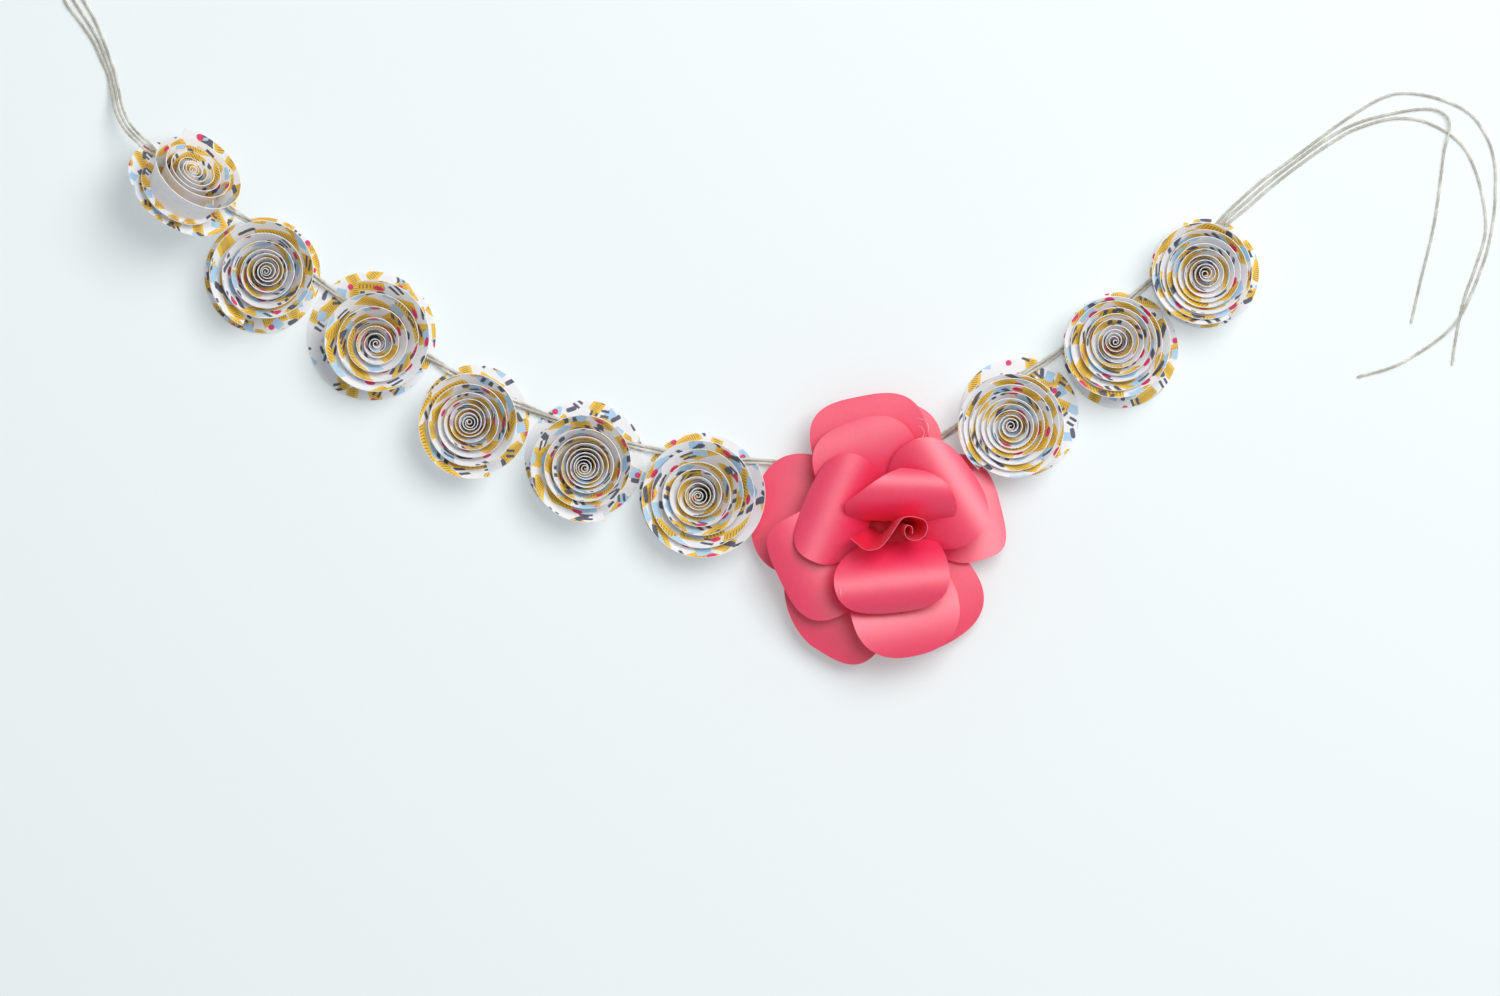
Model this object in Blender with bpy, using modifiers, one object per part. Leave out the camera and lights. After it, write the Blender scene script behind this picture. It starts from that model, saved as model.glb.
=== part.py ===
"""A paper flower garland, lying flat: nine rolled flowers and a card rose on a twisted cord of twine.

Run it with: blender --background --python part.py
Lengths are in metres and angles in degrees. +Z is up, and the garland lies on the plane z = 0.
Every flower is a spiral-cut strip rolled into a flared coil, glued over the cord onto a round backing disc.
"""

import math
from typing import NamedTuple

import bmesh
import bpy
from mathutils import Matrix, Vector

# Paper, card and glue
PAPER = 0.0003
DISC_PAPER = 0.0004
CARD = 0.0004
GAP = 0.0003
SHARP_ANGLE = 40.0
MERGE_DISTANCE = 0.00001

# Cord and twine
CORD_DIAMETER = 0.0028
TWINE_DIAMETER = 0.0013
CORD_BEVEL_STEPS = 2
ROUTE_STEPS = 12

# Rolled flowers
STRIP_WIDTH = 0.0165
STRIP_WIDTH_INNER = 0.0135
COIL_START_RADIUS = 0.0021
RIM_PITCH = 0.00125
LOW_PITCH = 0.0008
STEPS_PER_TURN = 9
TAB_OVERLAP = 0.0015
TAB_SIDES = 18
STRIP_STAND = 0.0002
TAB_DIP = 0.0005
TAB_DIP_TURNS = 0.25
GLUE_ROOF = 0.0007
GLUE_RADIUS = 0.009
GLUE_TAPER = 0.0015
DISC_SIDES = 32
GLUE_SIDES = 20

# The rose
ROSE_CENTRE = (0.0870, -0.0611)
ROSE_BASE_RADIUS = 0.025
ROSE_GLUE_RADIUS = 0.013
ROSE_GLUE_CENTRE = (0.0861, -0.0465)
PETAL_ROWS = (0.0, 0.22, 0.42, 0.58, 0.72, 0.83, 0.91, 0.965, 1.0)
PETAL_COLUMNS = 4
PETAL_SPINE_STEPS = 24
PETAL_BEND = 1.5
PETAL_ROOT_SHARE = 0.3
PETAL_TIP_SHARE = 0.2
PETAL_WIDEST = 0.56
PETAL_ROUNDNESS = 2.4
BUD_STAND = 0.0004
BUD_HEIGHT = 0.0354
BUD_POINTS = 56
BUD_FOOT_SHARE = 0.3
BUD_CENTRE = (0.0040, 0.0, 0.0)
BUD_FOOT_CENTRE = (0.0005, 0.0, 0.0)

# The end flower that is tipped up on the edge of its disc
TIPPED_FLOWER = 1
TIP_ANGLE = 50.0
TIP_HEADING = 52.6

# The tail coil
COIL_RADII = (0.0062, 0.0076, 0.0090)
COIL_RISE = 0.00165
COIL_TURNS = 3.4
COIL_LIFT = 0.0016
RING_STEPS = 24
TIE_THICKNESS = 0.0010
TIE_SLACK = 0.0004
TIE_SQUARE = 0.3


class Flower(NamedTuple):
    """One rolled flower: where its disc and coil stand, and how the coil is wound."""

    disc: tuple
    disc_radius: float
    coil: tuple
    rim_radius: float
    turns: float
    flare: float
    ease: float
    start: float
    drift: float
    drift_heading: float
    base_share: float
    glue: tuple


FLOWERS = (
    Flower(
        disc=(-0.2302, 0.0916), disc_radius=0.0270, coil=(-0.2350, 0.0853), rim_radius=0.0245, turns=8.2,
        flare=3.0, ease=0, start=20, drift=0.0012, drift_heading=60, base_share=0.74, glue=(-0.2294, 0.0926),
    ),
    Flower(
        disc=(-0.1945, 0.0536), disc_radius=0.0262, coil=(-0.1933, 0.0545), rim_radius=0.0258, turns=9.3,
        flare=3.6, ease=0, start=140, drift=0.0012, drift_heading=20, base_share=0.62, glue=(-0.1882, 0.0605),
    ),
    Flower(
        disc=(-0.1454, 0.0262), disc_radius=0.0292, coil=(-0.1442, 0.0247), rim_radius=0.0268, turns=7.4,
        flare=2.2, ease=0, start=322, drift=0.0022, drift_heading=300, base_share=0.62, glue=(-0.1462, 0.0335),
    ),
    Flower(
        disc=(-0.0987, -0.0113), disc_radius=0.0246, coil=(-0.1003, -0.0131), rim_radius=0.0254, turns=8.5,
        flare=3.4, ease=0, start=110, drift=0.0012, drift_heading=150, base_share=0.62, glue=(-0.0972, -0.0035),
    ),
    Flower(
        disc=(-0.0497, -0.0293), disc_radius=0.0268, coil=(-0.0492, -0.0315), rim_radius=0.0266, turns=10.2,
        flare=6.0, ease=1, start=218, drift=0.0016, drift_heading=280, base_share=0.62, glue=(-0.0487, -0.0230),
    ),
    Flower(
        disc=(0.0031, -0.0454), disc_radius=0.0281, coil=(0.0035, -0.0455), rim_radius=0.0284, turns=9.6,
        flare=5.0, ease=5, start=174, drift=0.0019, drift_heading=185, base_share=0.62, glue=(0.0038, -0.0355),
    ),
    Flower(
        disc=(0.1460, -0.0101), disc_radius=0.0270, coil=(0.1428, -0.0143), rim_radius=0.0248, turns=8.5,
        flare=3.0, ease=2, start=52, drift=0.001, drift_heading=210, base_share=0.62, glue=(0.1360, -0.0057),
    ),
    Flower(
        disc=(0.1914, 0.0199), disc_radius=0.0262, coil=(0.1893, 0.0221), rim_radius=0.0246, turns=8.0,
        flare=3.0, ease=1.5, start=30, drift=0.0014, drift_heading=100, base_share=0.62, glue=(0.1847, 0.0293),
    ),
    Flower(
        disc=(0.2294, 0.0545), disc_radius=0.0247, coil=(0.2283, 0.0550), rim_radius=0.0240, turns=8.2,
        flare=3.0, ease=1.5, start=228, drift=0.0018, drift_heading=315, base_share=0.62, glue=(0.2250, 0.0606),
    ),
)

# The cord's route from the left end to the right, over the discs and under the coils
CORD_ROUTE = (
    (-0.2479, 0.1129, 0.0169),
    (-0.2368, 0.1044, 0.0169),
    (-0.2265, 0.0965, 0.0169),
    (-0.2161, 0.0886, 0.0169),
    (-0.2059, 0.0813, 0.0172),
    (-0.2025, 0.0792, 0.0150),
    (-0.1997, 0.0775, 0.0100),
    (-0.1962, 0.0750, 0.0051),
    (-0.1924, 0.0721, 0.0025),
    (-0.1872, 0.0680, 0.0021),
    (-0.1747, 0.0560, 0.0021),
    (-0.1627, 0.0460, 0.0021),
    (-0.1487, 0.0360, 0.0021),
    (-0.1317, 0.0240, 0.0021),
    (-0.1155, 0.0140, 0.0021),
    (-0.0972, 0.0030, 0.0021),
    (-0.0807, -0.0040, 0.0021),
    (-0.0669, -0.0097, 0.0021),
    (-0.0427, -0.0180, 0.0021),
    (-0.0227, -0.0240, 0.0021),
    (0.0043, -0.0300, 0.0021),
    (0.0267, -0.0302, 0.0021),
    (0.0528, -0.0330, 0.0021),
    (0.0703, -0.0380, 0.0021),
    (0.0863, -0.0400, 0.0021),
    (0.0998, -0.0335, 0.0021),
    (0.1088, -0.0215, 0.0021),
    (0.1187, -0.0140, 0.0021),
    (0.1313, -0.0043, 0.0021),
    (0.1468, 0.0083, 0.0021),
    (0.1645, 0.0190, 0.0021),
    (0.1793, 0.0315, 0.0021),
    (0.1933, 0.0410, 0.0021),
    (0.2068, 0.0520, 0.0021),
    (0.2203, 0.0610, 0.0021),
    (0.2283, 0.0675, 0.0021),
    (0.2338, 0.0725, 0.0021),
)
CORD_POINTS = 80

# The loose tails, each from the cord's end outwards
TAIL_ROUTES = {
    "right_tail_a": (
        (0.2333, 0.0747, 0.0014), (0.2373, 0.0795, 0.0015), (0.2454, 0.0873, 0.0010),
        (0.2553, 0.0960, 0.0008), (0.2711, 0.1076, 0.0008), (0.2927, 0.1234, 0.0008),
        (0.3084, 0.1328, 0.0008), (0.3197, 0.1355, 0.0008), (0.3354, 0.1328, 0.0008),
        (0.3489, 0.1261, 0.0008), (0.3568, 0.1150, 0.0008), (0.3601, 0.1030, 0.0008),
        (0.3603, 0.0900, 0.0008), (0.3593, 0.0775, 0.0008), (0.3561, 0.0626, 0.0008),
        (0.3507, 0.0478, 0.0013), (0.3475, 0.0410, 0.0024), (0.3440, 0.0343, 0.0026),
        (0.3399, 0.0295, 0.0023), (0.3354, 0.0253, 0.0012), (0.3264, 0.0190, 0.0008),
        (0.3138, 0.0122, 0.0008), (0.2981, 0.0077, 0.0008),
    ),
    "right_tail_b": (
        (0.2349, 0.0737, 0.0014), (0.2387, 0.0784, 0.0015), (0.2472, 0.0857, 0.0010),
        (0.2569, 0.0942, 0.0008), (0.2723, 0.1061, 0.0008), (0.2859, 0.1157, 0.0008),
        (0.2994, 0.1225, 0.0008), (0.3174, 0.1270, 0.0008), (0.3309, 0.1283, 0.0010),
        (0.3379, 0.1255, 0.0020), (0.3397, 0.1205, 0.0026), (0.3387, 0.1150, 0.0026),
        (0.3371, 0.1080, 0.0013), (0.3345, 0.0875, 0.0008), (0.3318, 0.0716, 0.0008),
        (0.3268, 0.0515, 0.0008), (0.3224, 0.0320, 0.0008),
    ),
    "right_tail_c": (
        (0.2365, 0.0727, 0.0014), (0.2404, 0.0772, 0.0015), (0.2488, 0.0840, 0.0010),
        (0.2585, 0.0925, 0.0008), (0.2737, 0.1043, 0.0008), (0.2875, 0.1138, 0.0008),
        (0.2988, 0.1198, 0.0008), (0.3153, 0.1241, 0.0008), (0.3303, 0.1220, 0.0008),
        (0.3444, 0.1130, 0.0008), (0.3512, 0.1009, 0.0008), (0.3550, 0.0865, 0.0008),
        (0.3558, 0.0725, 0.0008), (0.3513, 0.0570, 0.0008), (0.3463, 0.0430, 0.0008),
        (0.3433, 0.0295, 0.0008), (0.3417, 0.0199, 0.0008), (0.3408, 0.0131, 0.0008),
    ),
    "left_tail_a": (
        (-0.2494, 0.1123, 0.0169), (-0.2554, 0.1181, 0.0136), (-0.2602, 0.1266, 0.0076),
        (-0.2623, 0.1360, 0.0026), (-0.2639, 0.1436, 0.0008), (-0.2669, 0.1505, 0.0008),
        (-0.2709, 0.1591, 0.0008), (-0.2773, 0.1685, 0.0008), (-0.2832, 0.1765, 0.0008),
        (-0.2834, 0.1830, 0.0014), (-0.2825, 0.1902, 0.0022),
    ),
    "left_tail_b": (
        (-0.2484, 0.1135, 0.0169), (-0.2541, 0.1191, 0.0136), (-0.2586, 0.1274, 0.0076),
        (-0.2607, 0.1365, 0.0026), (-0.2623, 0.1440, 0.0008), (-0.2651, 0.1511, 0.0008),
        (-0.2687, 0.1599, 0.0008), (-0.2741, 0.1691, 0.0008), (-0.2795, 0.1775, 0.0008),
        (-0.2811, 0.1840, 0.0014), (-0.2811, 0.1914, 0.0022),
    ),
    "left_tail_c": (
        (-0.2474, 0.1148, 0.0169), (-0.2528, 0.1203, 0.0136), (-0.2570, 0.1282, 0.0076),
        (-0.2591, 0.1370, 0.0026), (-0.2607, 0.1444, 0.0008), (-0.2633, 0.1517, 0.0008),
        (-0.2665, 0.1607, 0.0008), (-0.2708, 0.1700, 0.0008), (-0.2757, 0.1785, 0.0008),
        (-0.2788, 0.1853, 0.0014), (-0.2797, 0.1932, 0.0022),
    ),
}
TAIL_SPACING = 0.0042
TAIL_POINTS_LEAST = 12
TAIL_COIL_CENTRE = (-0.2887, 0.1985)
TIE_POINTS = 16


class Petal(NamedTuple):
    """One card petal: its heading round the rose, where its root stands, its cut size and how it bends."""

    heading: float
    root_radius: float
    stand: float
    length: float
    width: float
    rise: float
    tip: float
    roll: float
    turn: float


PETALS = {
    "outer_petal_1": Petal(101, 0.010, 0.0028, 0.053, 0.053, 24, -14, -4, 0),
    "outer_petal_2": Petal(170, 0.010, 0.0014, 0.052, 0.055, 10, -12, 0, 0),
    "outer_petal_3": Petal(237, 0.010, 0.0026, 0.053, 0.052, 14, -14, 0, 0),
    "outer_petal_4": Petal(300, 0.010, 0.0010, 0.049, 0.048, 12, -14, 0, 0),
    "outer_petal_5": Petal(14, 0.010, 0.0026, 0.0425, 0.052, 16, -22, -3, 0),
    "outer_petal_6": Petal(88, 0.010, 0.0010, 0.048, 0.046, 6, -8, 0, 0),
    "middle_petal_1": Petal(163, 0.009, 0.0092, 0.037, 0.052, 57, -44, 0, -6),
    "middle_petal_2": Petal(206, 0.008, 0.0044, 0.050, 0.050, 34, -20, -6, 0),
    "middle_petal_3": Petal(276, 0.008, 0.0053, 0.053, 0.050, 34, -20, -6, 6),
    "middle_petal_4": Petal(33, 0.008, 0.0088, 0.0435, 0.053, 50, -36, 0, 0),
    "middle_petal_5": Petal(100, 0.008, 0.0040, 0.0468, 0.048, 36, -16, 0, 10),
    "inner_petal_1": Petal(45, 0.0071, 0.0160, 0.031, 0.050, 72, -42, 0, 43),
    "inner_petal_2": Petal(268, 0.0060, 0.0138, 0.0390, 0.052, 62, -50, 0, 8),
}

# The top edge of the rolled bud, from its loose end inwards, measured from the rose's centre
BUD_EDGE = (
    (-0.0180, -0.0035), (-0.0145, -0.0068), (-0.0105, -0.0088), (-0.0062, -0.0086),
    (-0.0018, -0.0052), (0.0015, 0.0002), (0.0045, 0.0044), (0.0090, 0.0060),
    (0.0140, 0.0048), (0.0170, 0.0015), (0.0168, -0.0020), (0.0138, -0.0047),
    (0.0098, -0.0050), (0.0075, -0.0022), (0.0085, 0.0008), (0.0108, 0.0008),
    (0.0112, -0.0010),
)


def clear_scene():
    """Removes every object of the scene that the file opened with."""
    for obj in list(bpy.data.objects):
        bpy.data.objects.remove(obj, do_unlink=True)


def make_collection(name):
    """Adds a collection to the scene."""
    made = bpy.data.collections.new(name)
    bpy.context.scene.collection.children.link(made)
    return made


def make_material(name, colour, roughness):
    """A plain finish with the colour and roughness of the real piece."""
    made = bpy.data.materials.new(name)
    made.use_nodes = True
    shader = made.node_tree.nodes["Principled BSDF"]
    shader.inputs["Base Color"].default_value = (*colour, 1.0)
    shader.inputs["Roughness"].default_value = roughness
    shader.inputs["Metallic"].default_value = 0.0
    return made


def add_mesh(name, bm, material, collection, smooth=True):
    """Makes an object from a bmesh and links it."""
    bmesh.ops.recalc_face_normals(bm, faces=bm.faces)
    mesh = bpy.data.meshes.new(name)
    bm.to_mesh(mesh)
    bm.free()
    mesh.materials.append(material)
    if smooth:
        mesh.shade_smooth()
        mesh.set_sharp_from_angle(angle=math.radians(SHARP_ANGLE))
    obj = bpy.data.objects.new(name, mesh)
    collection.objects.link(obj)
    return obj


def smooth_route(points, count):
    """Evenly spaced points on a smooth curve through the route's own points."""
    knots = [Vector(p) for p in points]
    ends = [2 * knots[0] - knots[1], *knots, 2 * knots[-1] - knots[-2]]
    fine = []
    for before, start, end, after in zip(ends, ends[1:], ends[2:], ends[3:]):
        for i in range(ROUTE_STEPS):
            t = i / ROUTE_STEPS
            fine.append(
                0.5
                * (
                    2 * start
                    + (end - before) * t
                    + (2 * before - 5 * start + 4 * end - after) * t**2
                    + (3 * start - before - 3 * end + after) * t**3
                )
            )
    fine.append(knots[-1])
    return respace(fine, count)


def respace(fine, count):
    """The same line with this many points at even distances."""
    along = [0.0]
    for a, b in zip(fine, fine[1:]):
        along.append(along[-1] + (b - a).length)
    spaced = []
    k = 0
    for i in range(count):
        wanted = along[-1] * i / (count - 1)
        while k < len(fine) - 2 and along[k + 1] < wanted:
            k += 1
        share = (wanted - along[k]) / (along[k + 1] - along[k])
        spaced.append(fine[k].lerp(fine[k + 1], share))
    return spaced


def route_length(points):
    """The length of a line of points."""
    return sum((b - a).length for a, b in zip(points, points[1:]))


def make_tube(name, points, diameter, material, collection):
    """A round tube along the points, closed at both ends."""
    curve = bpy.data.curves.new(name, "CURVE")
    curve.dimensions = "3D"
    curve.bevel_depth = diameter / 2
    curve.bevel_resolution = CORD_BEVEL_STEPS
    curve.use_fill_caps = True
    spline = curve.splines.new("POLY")
    spline.points.add(len(points) - 1)
    for slot, place in zip(spline.points, points):
        slot.co = (*place, 1.0)
    curve.materials.append(material)
    obj = bpy.data.objects.new(name, curve)
    collection.objects.link(obj)
    return obj


def mesh_from_curve(curve_obj, collection):
    """Turns a curve object into a closed mesh object of the same name."""
    name = curve_obj.name
    graph = bpy.context.evaluated_depsgraph_get()
    mesh = bpy.data.meshes.new_from_object(curve_obj.evaluated_get(graph))
    place = curve_obj.matrix_world.copy()
    bpy.data.objects.remove(curve_obj, do_unlink=True)
    bm = bmesh.new()
    bm.from_mesh(mesh)
    bmesh.ops.remove_doubles(bm, verts=bm.verts, dist=MERGE_DISTANCE)
    bmesh.ops.recalc_face_normals(bm, faces=bm.faces)
    bm.to_mesh(mesh)
    bm.free()
    obj = bpy.data.objects.new(name, mesh)
    obj.matrix_world = place
    collection.objects.link(obj)
    return obj


def hide_cutter(obj):
    """Keeps a cutter out of the model."""
    obj.hide_render = True
    obj.display_type = "WIRE"


def cut(obj, cutter):
    """Takes the cutter's shape out of the object."""
    change = obj.modifiers.new("tunnel", "BOOLEAN")
    change.operation = "DIFFERENCE"
    change.solver = "EXACT"
    change.object = cutter


def glue_top():
    """The height of a glue pad's top above the bottom of the disc that carries it."""
    return DISC_PAPER + GAP + CORD_DIAMETER + GAP + GLUE_ROOF


def flower_frame(index, flower):
    """The placing of a flower's disc plane: flat on the ground, or tipped up on the disc's edge."""
    if index != TIPPED_FLOWER:
        return Matrix.Translation((*flower.disc, 0.0))
    heading = math.radians(TIP_HEADING)
    axis = Vector((-math.sin(heading), math.cos(heading), 0.0))
    tip = Matrix.Rotation(math.radians(TIP_ANGLE), 4, axis)
    lift = flower.disc_radius * math.sin(math.radians(TIP_ANGLE))
    return Matrix.Translation((*flower.disc, lift)) @ tip


def rim_radius(flower, turn):
    """The radius of the strip's upper edge after this many turns."""
    share = turn / flower.turns
    wide = flower.rim_radius - COIL_START_RADIUS - RIM_PITCH * flower.turns
    spread = share**flower.flare * (1 + flower.ease * (1 - share))
    return COIL_START_RADIUS + RIM_PITCH * turn + wide * spread


def coil_section(flower, turn):
    """The strip's lower and upper edge after this many turns, from the coil's own centre."""
    share = turn / flower.turns
    angle = math.radians(flower.start) + 2 * math.pi * turn
    top = rim_radius(flower, turn)
    spread_low = flower.base_share * flower.rim_radius - COIL_START_RADIUS - LOW_PITCH * flower.turns
    low = COIL_START_RADIUS + LOW_PITCH * turn + spread_low * share**3
    dip = TAB_DIP * max(0.0, (turn - flower.turns) / TAB_DIP_TURNS + 1)
    width = STRIP_WIDTH_INNER + (STRIP_WIDTH - STRIP_WIDTH_INNER) * share
    height = math.sqrt(width**2 - (top - low) ** 2)
    heading = math.radians(flower.drift_heading)
    slide = flower.drift * (1 - share**flower.flare)
    shift = Vector((slide * math.cos(heading), slide * math.sin(heading), 0.0))
    around = Vector((math.cos(angle), math.sin(angle), 0.0))
    foot = glue_top() + GAP + 2 * PAPER + STRIP_STAND
    lower = around * low + Vector((0, 0, foot - dip))
    upper = around * top + shift + Vector((0, 0, foot + height))
    return lower, upper


def make_coil(index, flower, material, collection, helpers):
    """The rolled strip with the round tab that closes its foot, as one sheet."""
    bm = bmesh.new()
    steps = round(flower.turns * STEPS_PER_TURN)
    rows = []
    for i in range(steps + 1):
        lower, upper = coil_section(flower, flower.turns * i / steps)
        rows.append((bm.verts.new(lower), bm.verts.new(upper)))
    for (a, b), (c, d) in zip(rows, rows[1:]):
        bm.faces.new((a, c, d, b))
    name = f"rolled_flower_{index}"
    coil = add_mesh(name, bm, material, collection)
    thick = coil.modifiers.new("paper", "SOLIDIFY")
    thick.thickness = PAPER
    thick.offset = 0.0
    thick.use_even_offset = True
    tab = make_disc(
        f"{name}_tab", flower.base_share * flower.rim_radius + TAB_OVERLAP, 2 * PAPER, TAB_SIDES, material, helpers
    )
    tab.data.transform(Matrix.Translation((0, 0, glue_top() + GAP)))
    hide_cutter(tab)
    joined = coil.modifiers.new("tab", "BOOLEAN")
    joined.operation = "UNION"
    joined.solver = "EXACT"
    joined.object = tab
    offset = Vector((flower.coil[0] - flower.disc[0], flower.coil[1] - flower.disc[1], 0.0))
    place = flower_frame(index, flower) @ Matrix.Translation(offset)
    coil.matrix_world = place
    tab.matrix_world = place
    return coil


def make_disc(name, radius, thickness, sides, material, collection):
    """A round card that stands on its own z = 0."""
    bm = bmesh.new()
    bmesh.ops.create_cone(
        bm, cap_ends=True, segments=sides, radius1=radius, radius2=radius, depth=thickness
    )
    bmesh.ops.translate(bm, verts=bm.verts, vec=(0, 0, thickness / 2))
    return add_mesh(name, bm, material, collection)


def make_backing_disc(index, flower, material, collection):
    """The printed disc behind a rolled flower."""
    disc = make_disc(
        f"backing_disc_{index}", flower.disc_radius, DISC_PAPER, DISC_SIDES, material, collection
    )
    disc.matrix_world = flower_frame(index, flower)
    return disc


def make_glue(name, radius, bottom, frame, offset, material, collection):
    """A flattened pad of hot glue with sloping sides."""
    bm = bmesh.new()
    depth = glue_top() - bottom
    bmesh.ops.create_cone(
        bm, cap_ends=True, segments=GLUE_SIDES, radius1=radius, radius2=radius - GLUE_TAPER, depth=depth
    )
    bmesh.ops.translate(bm, verts=bm.verts, vec=(0, 0, bottom + depth / 2))
    pad = add_mesh(name, bm, material, collection)
    pad.matrix_world = frame @ Matrix.Translation(offset)
    return pad


def rose_base_top():
    """The height of the rose's card base, which carries every petal."""
    return glue_top() + GAP + CARD


def petal_outline(share):
    """Half the petal's width at this share of its length, as a share of its widest half."""
    if share < PETAL_WIDEST:
        grown = math.sin(math.pi / 2 * share / PETAL_WIDEST)
        return PETAL_ROOT_SHARE + (1 - PETAL_ROOT_SHARE) * grown
    past = (share - PETAL_WIDEST) / (1 - PETAL_WIDEST)
    rounded = (1 - past**PETAL_ROUNDNESS) ** (1 / PETAL_ROUNDNESS)
    return max(PETAL_TIP_SHARE, rounded)


def petal_spine(petal, share):
    """The petal's middle line: its distance out and its height at this share of its length."""
    out, up = 0.0, 0.0
    step = petal.length * share / PETAL_SPINE_STEPS
    for i in range(PETAL_SPINE_STEPS):
        at = share * (i + 0.5) / PETAL_SPINE_STEPS
        angle = math.radians(petal.rise + (petal.tip - petal.rise) * at**PETAL_BEND)
        out += math.cos(angle) * step
        up += math.sin(angle) * step
    return out, up


def make_petal(name, petal, material, collection):
    """One petal, bent across its length like a cylinder, and set round the rose's centre."""
    bm = bmesh.new()
    rows = []
    for share in PETAL_ROWS:
        out, up = petal_spine(petal, share)
        half = petal_outline(share) * petal.width / 2
        rows.append(
            [
                bm.verts.new((out, half * (2 * j / PETAL_COLUMNS - 1), up))
                for j in range(PETAL_COLUMNS + 1)
            ]
        )
    for low, high in zip(rows, rows[1:]):
        for j in range(PETAL_COLUMNS):
            bm.faces.new((low[j], high[j], high[j + 1], low[j + 1]))
    leaf = add_mesh(name, bm, material, collection)
    thick = leaf.modifiers.new("card", "SOLIDIFY")
    thick.thickness = CARD
    thick.offset = 0.0
    leaf.matrix_world = (
        Matrix.Translation((*ROSE_CENTRE, rose_base_top() + petal.stand))
        @ Matrix.Rotation(math.radians(petal.heading), 4, "Z")
        @ Matrix.Translation((petal.root_radius, 0, 0))
        @ Matrix.Rotation(math.radians(petal.turn), 4, "Z")
        @ Matrix.Rotation(math.radians(petal.roll), 4, "X")
    )
    return leaf


def make_bud(material, collection):
    """The rolled card at the rose's heart, wide at its wavy top edge and drawn in at its foot."""
    edge = smooth_route([(x, y, 0) for x, y in BUD_EDGE], BUD_POINTS)
    centre = Vector(BUD_FOOT_CENTRE)
    low = rose_base_top() + BUD_STAND
    bm = bmesh.new()
    rows = []
    for place in edge:
        foot = centre + (place - Vector(BUD_CENTRE)) * BUD_FOOT_SHARE
        foot.z = low
        top = place + Vector((0, 0, low + BUD_HEIGHT))
        rows.append((bm.verts.new(foot), bm.verts.new(top)))
    for (a, b), (c, d) in zip(rows, rows[1:]):
        bm.faces.new((a, c, d, b))
    bud = add_mesh("rolled_bud", bm, material, collection)
    thick = bud.modifiers.new("card", "SOLIDIFY")
    thick.thickness = CARD
    thick.offset = 0.0
    thick.use_even_offset = True
    bud.location = (*ROSE_CENTRE, 0.0)
    return bud


def make_rose(card, glue, collection, tunnel):
    """The card rose: a pad of glue round the cord, a round base, and every petal."""
    place = Matrix.Translation((*ROSE_GLUE_CENTRE, 0.0))
    pad = make_glue("rose_glue", ROSE_GLUE_RADIUS, 0.0, place, (0, 0, 0), glue, collection)
    cut(pad, tunnel)
    base = make_disc("rose_base", ROSE_BASE_RADIUS, CARD, DISC_SIDES, card, collection)
    base.location = (*ROSE_CENTRE, rose_base_top() - CARD)
    for name, petal in PETALS.items():
        make_petal(name, petal, card, collection)
    make_bud(card, collection)


def make_tail_coil(material, collection):
    """The wound length of the three left tails, as the plain ring that holds its turns, and its tie."""
    inner = COIL_RADII[0] - TWINE_DIAMETER / 2
    outer = COIL_RADII[-1] + TWINE_DIAMETER / 2
    height = COIL_RISE * COIL_TURNS + TWINE_DIAMETER
    profile = bmesh.new()
    corners = [(outer, height), (outer, 0), (inner, 0), (inner, height)]
    verts = [profile.verts.new((r, 0, COIL_LIFT + z)) for r, z in corners]
    for a, b in zip(verts, verts[1:] + verts[:1]):
        profile.edges.new((a, b))
    mesh = bpy.data.meshes.new("left_tail_coil")
    profile.to_mesh(mesh)
    profile.free()
    mesh.materials.append(material)
    ring = bpy.data.objects.new("left_tail_coil", mesh)
    collection.objects.link(ring)
    ring.location = (*TAIL_COIL_CENTRE, 0.0)
    turned = ring.modifiers.new("turned", "SCREW")
    turned.angle = 2 * math.pi
    turned.steps = RING_STEPS
    turned.render_steps = RING_STEPS
    turned.use_merge_vertices = True
    turned.merge_threshold = MERGE_DISTANCE
    turned.use_smooth_shade = True

    centre_x = TAIL_COIL_CENTRE[0] - (inner + outer) / 2
    centre_z = COIL_LIFT + height / 2
    half_wide = (outer - inner) / 2 + TIE_SLACK + TIE_THICKNESS / 2
    half_high = height / 2 + TIE_SLACK + TIE_THICKNESS / 2
    loop = []
    for i in range(TIE_POINTS):
        angle = 2 * math.pi * i / TIE_POINTS
        wide = math.copysign(abs(math.cos(angle)) ** TIE_SQUARE, math.cos(angle))
        high = math.copysign(abs(math.sin(angle)) ** TIE_SQUARE, math.sin(angle))
        loop.append(Vector((centre_x + half_wide * wide, TAIL_COIL_CENTRE[1], centre_z + half_high * high)))
    tie = make_tube("coil_tie", loop, TIE_THICKNESS, material, collection)
    tie.data.splines[0].use_cyclic_u = True


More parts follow.
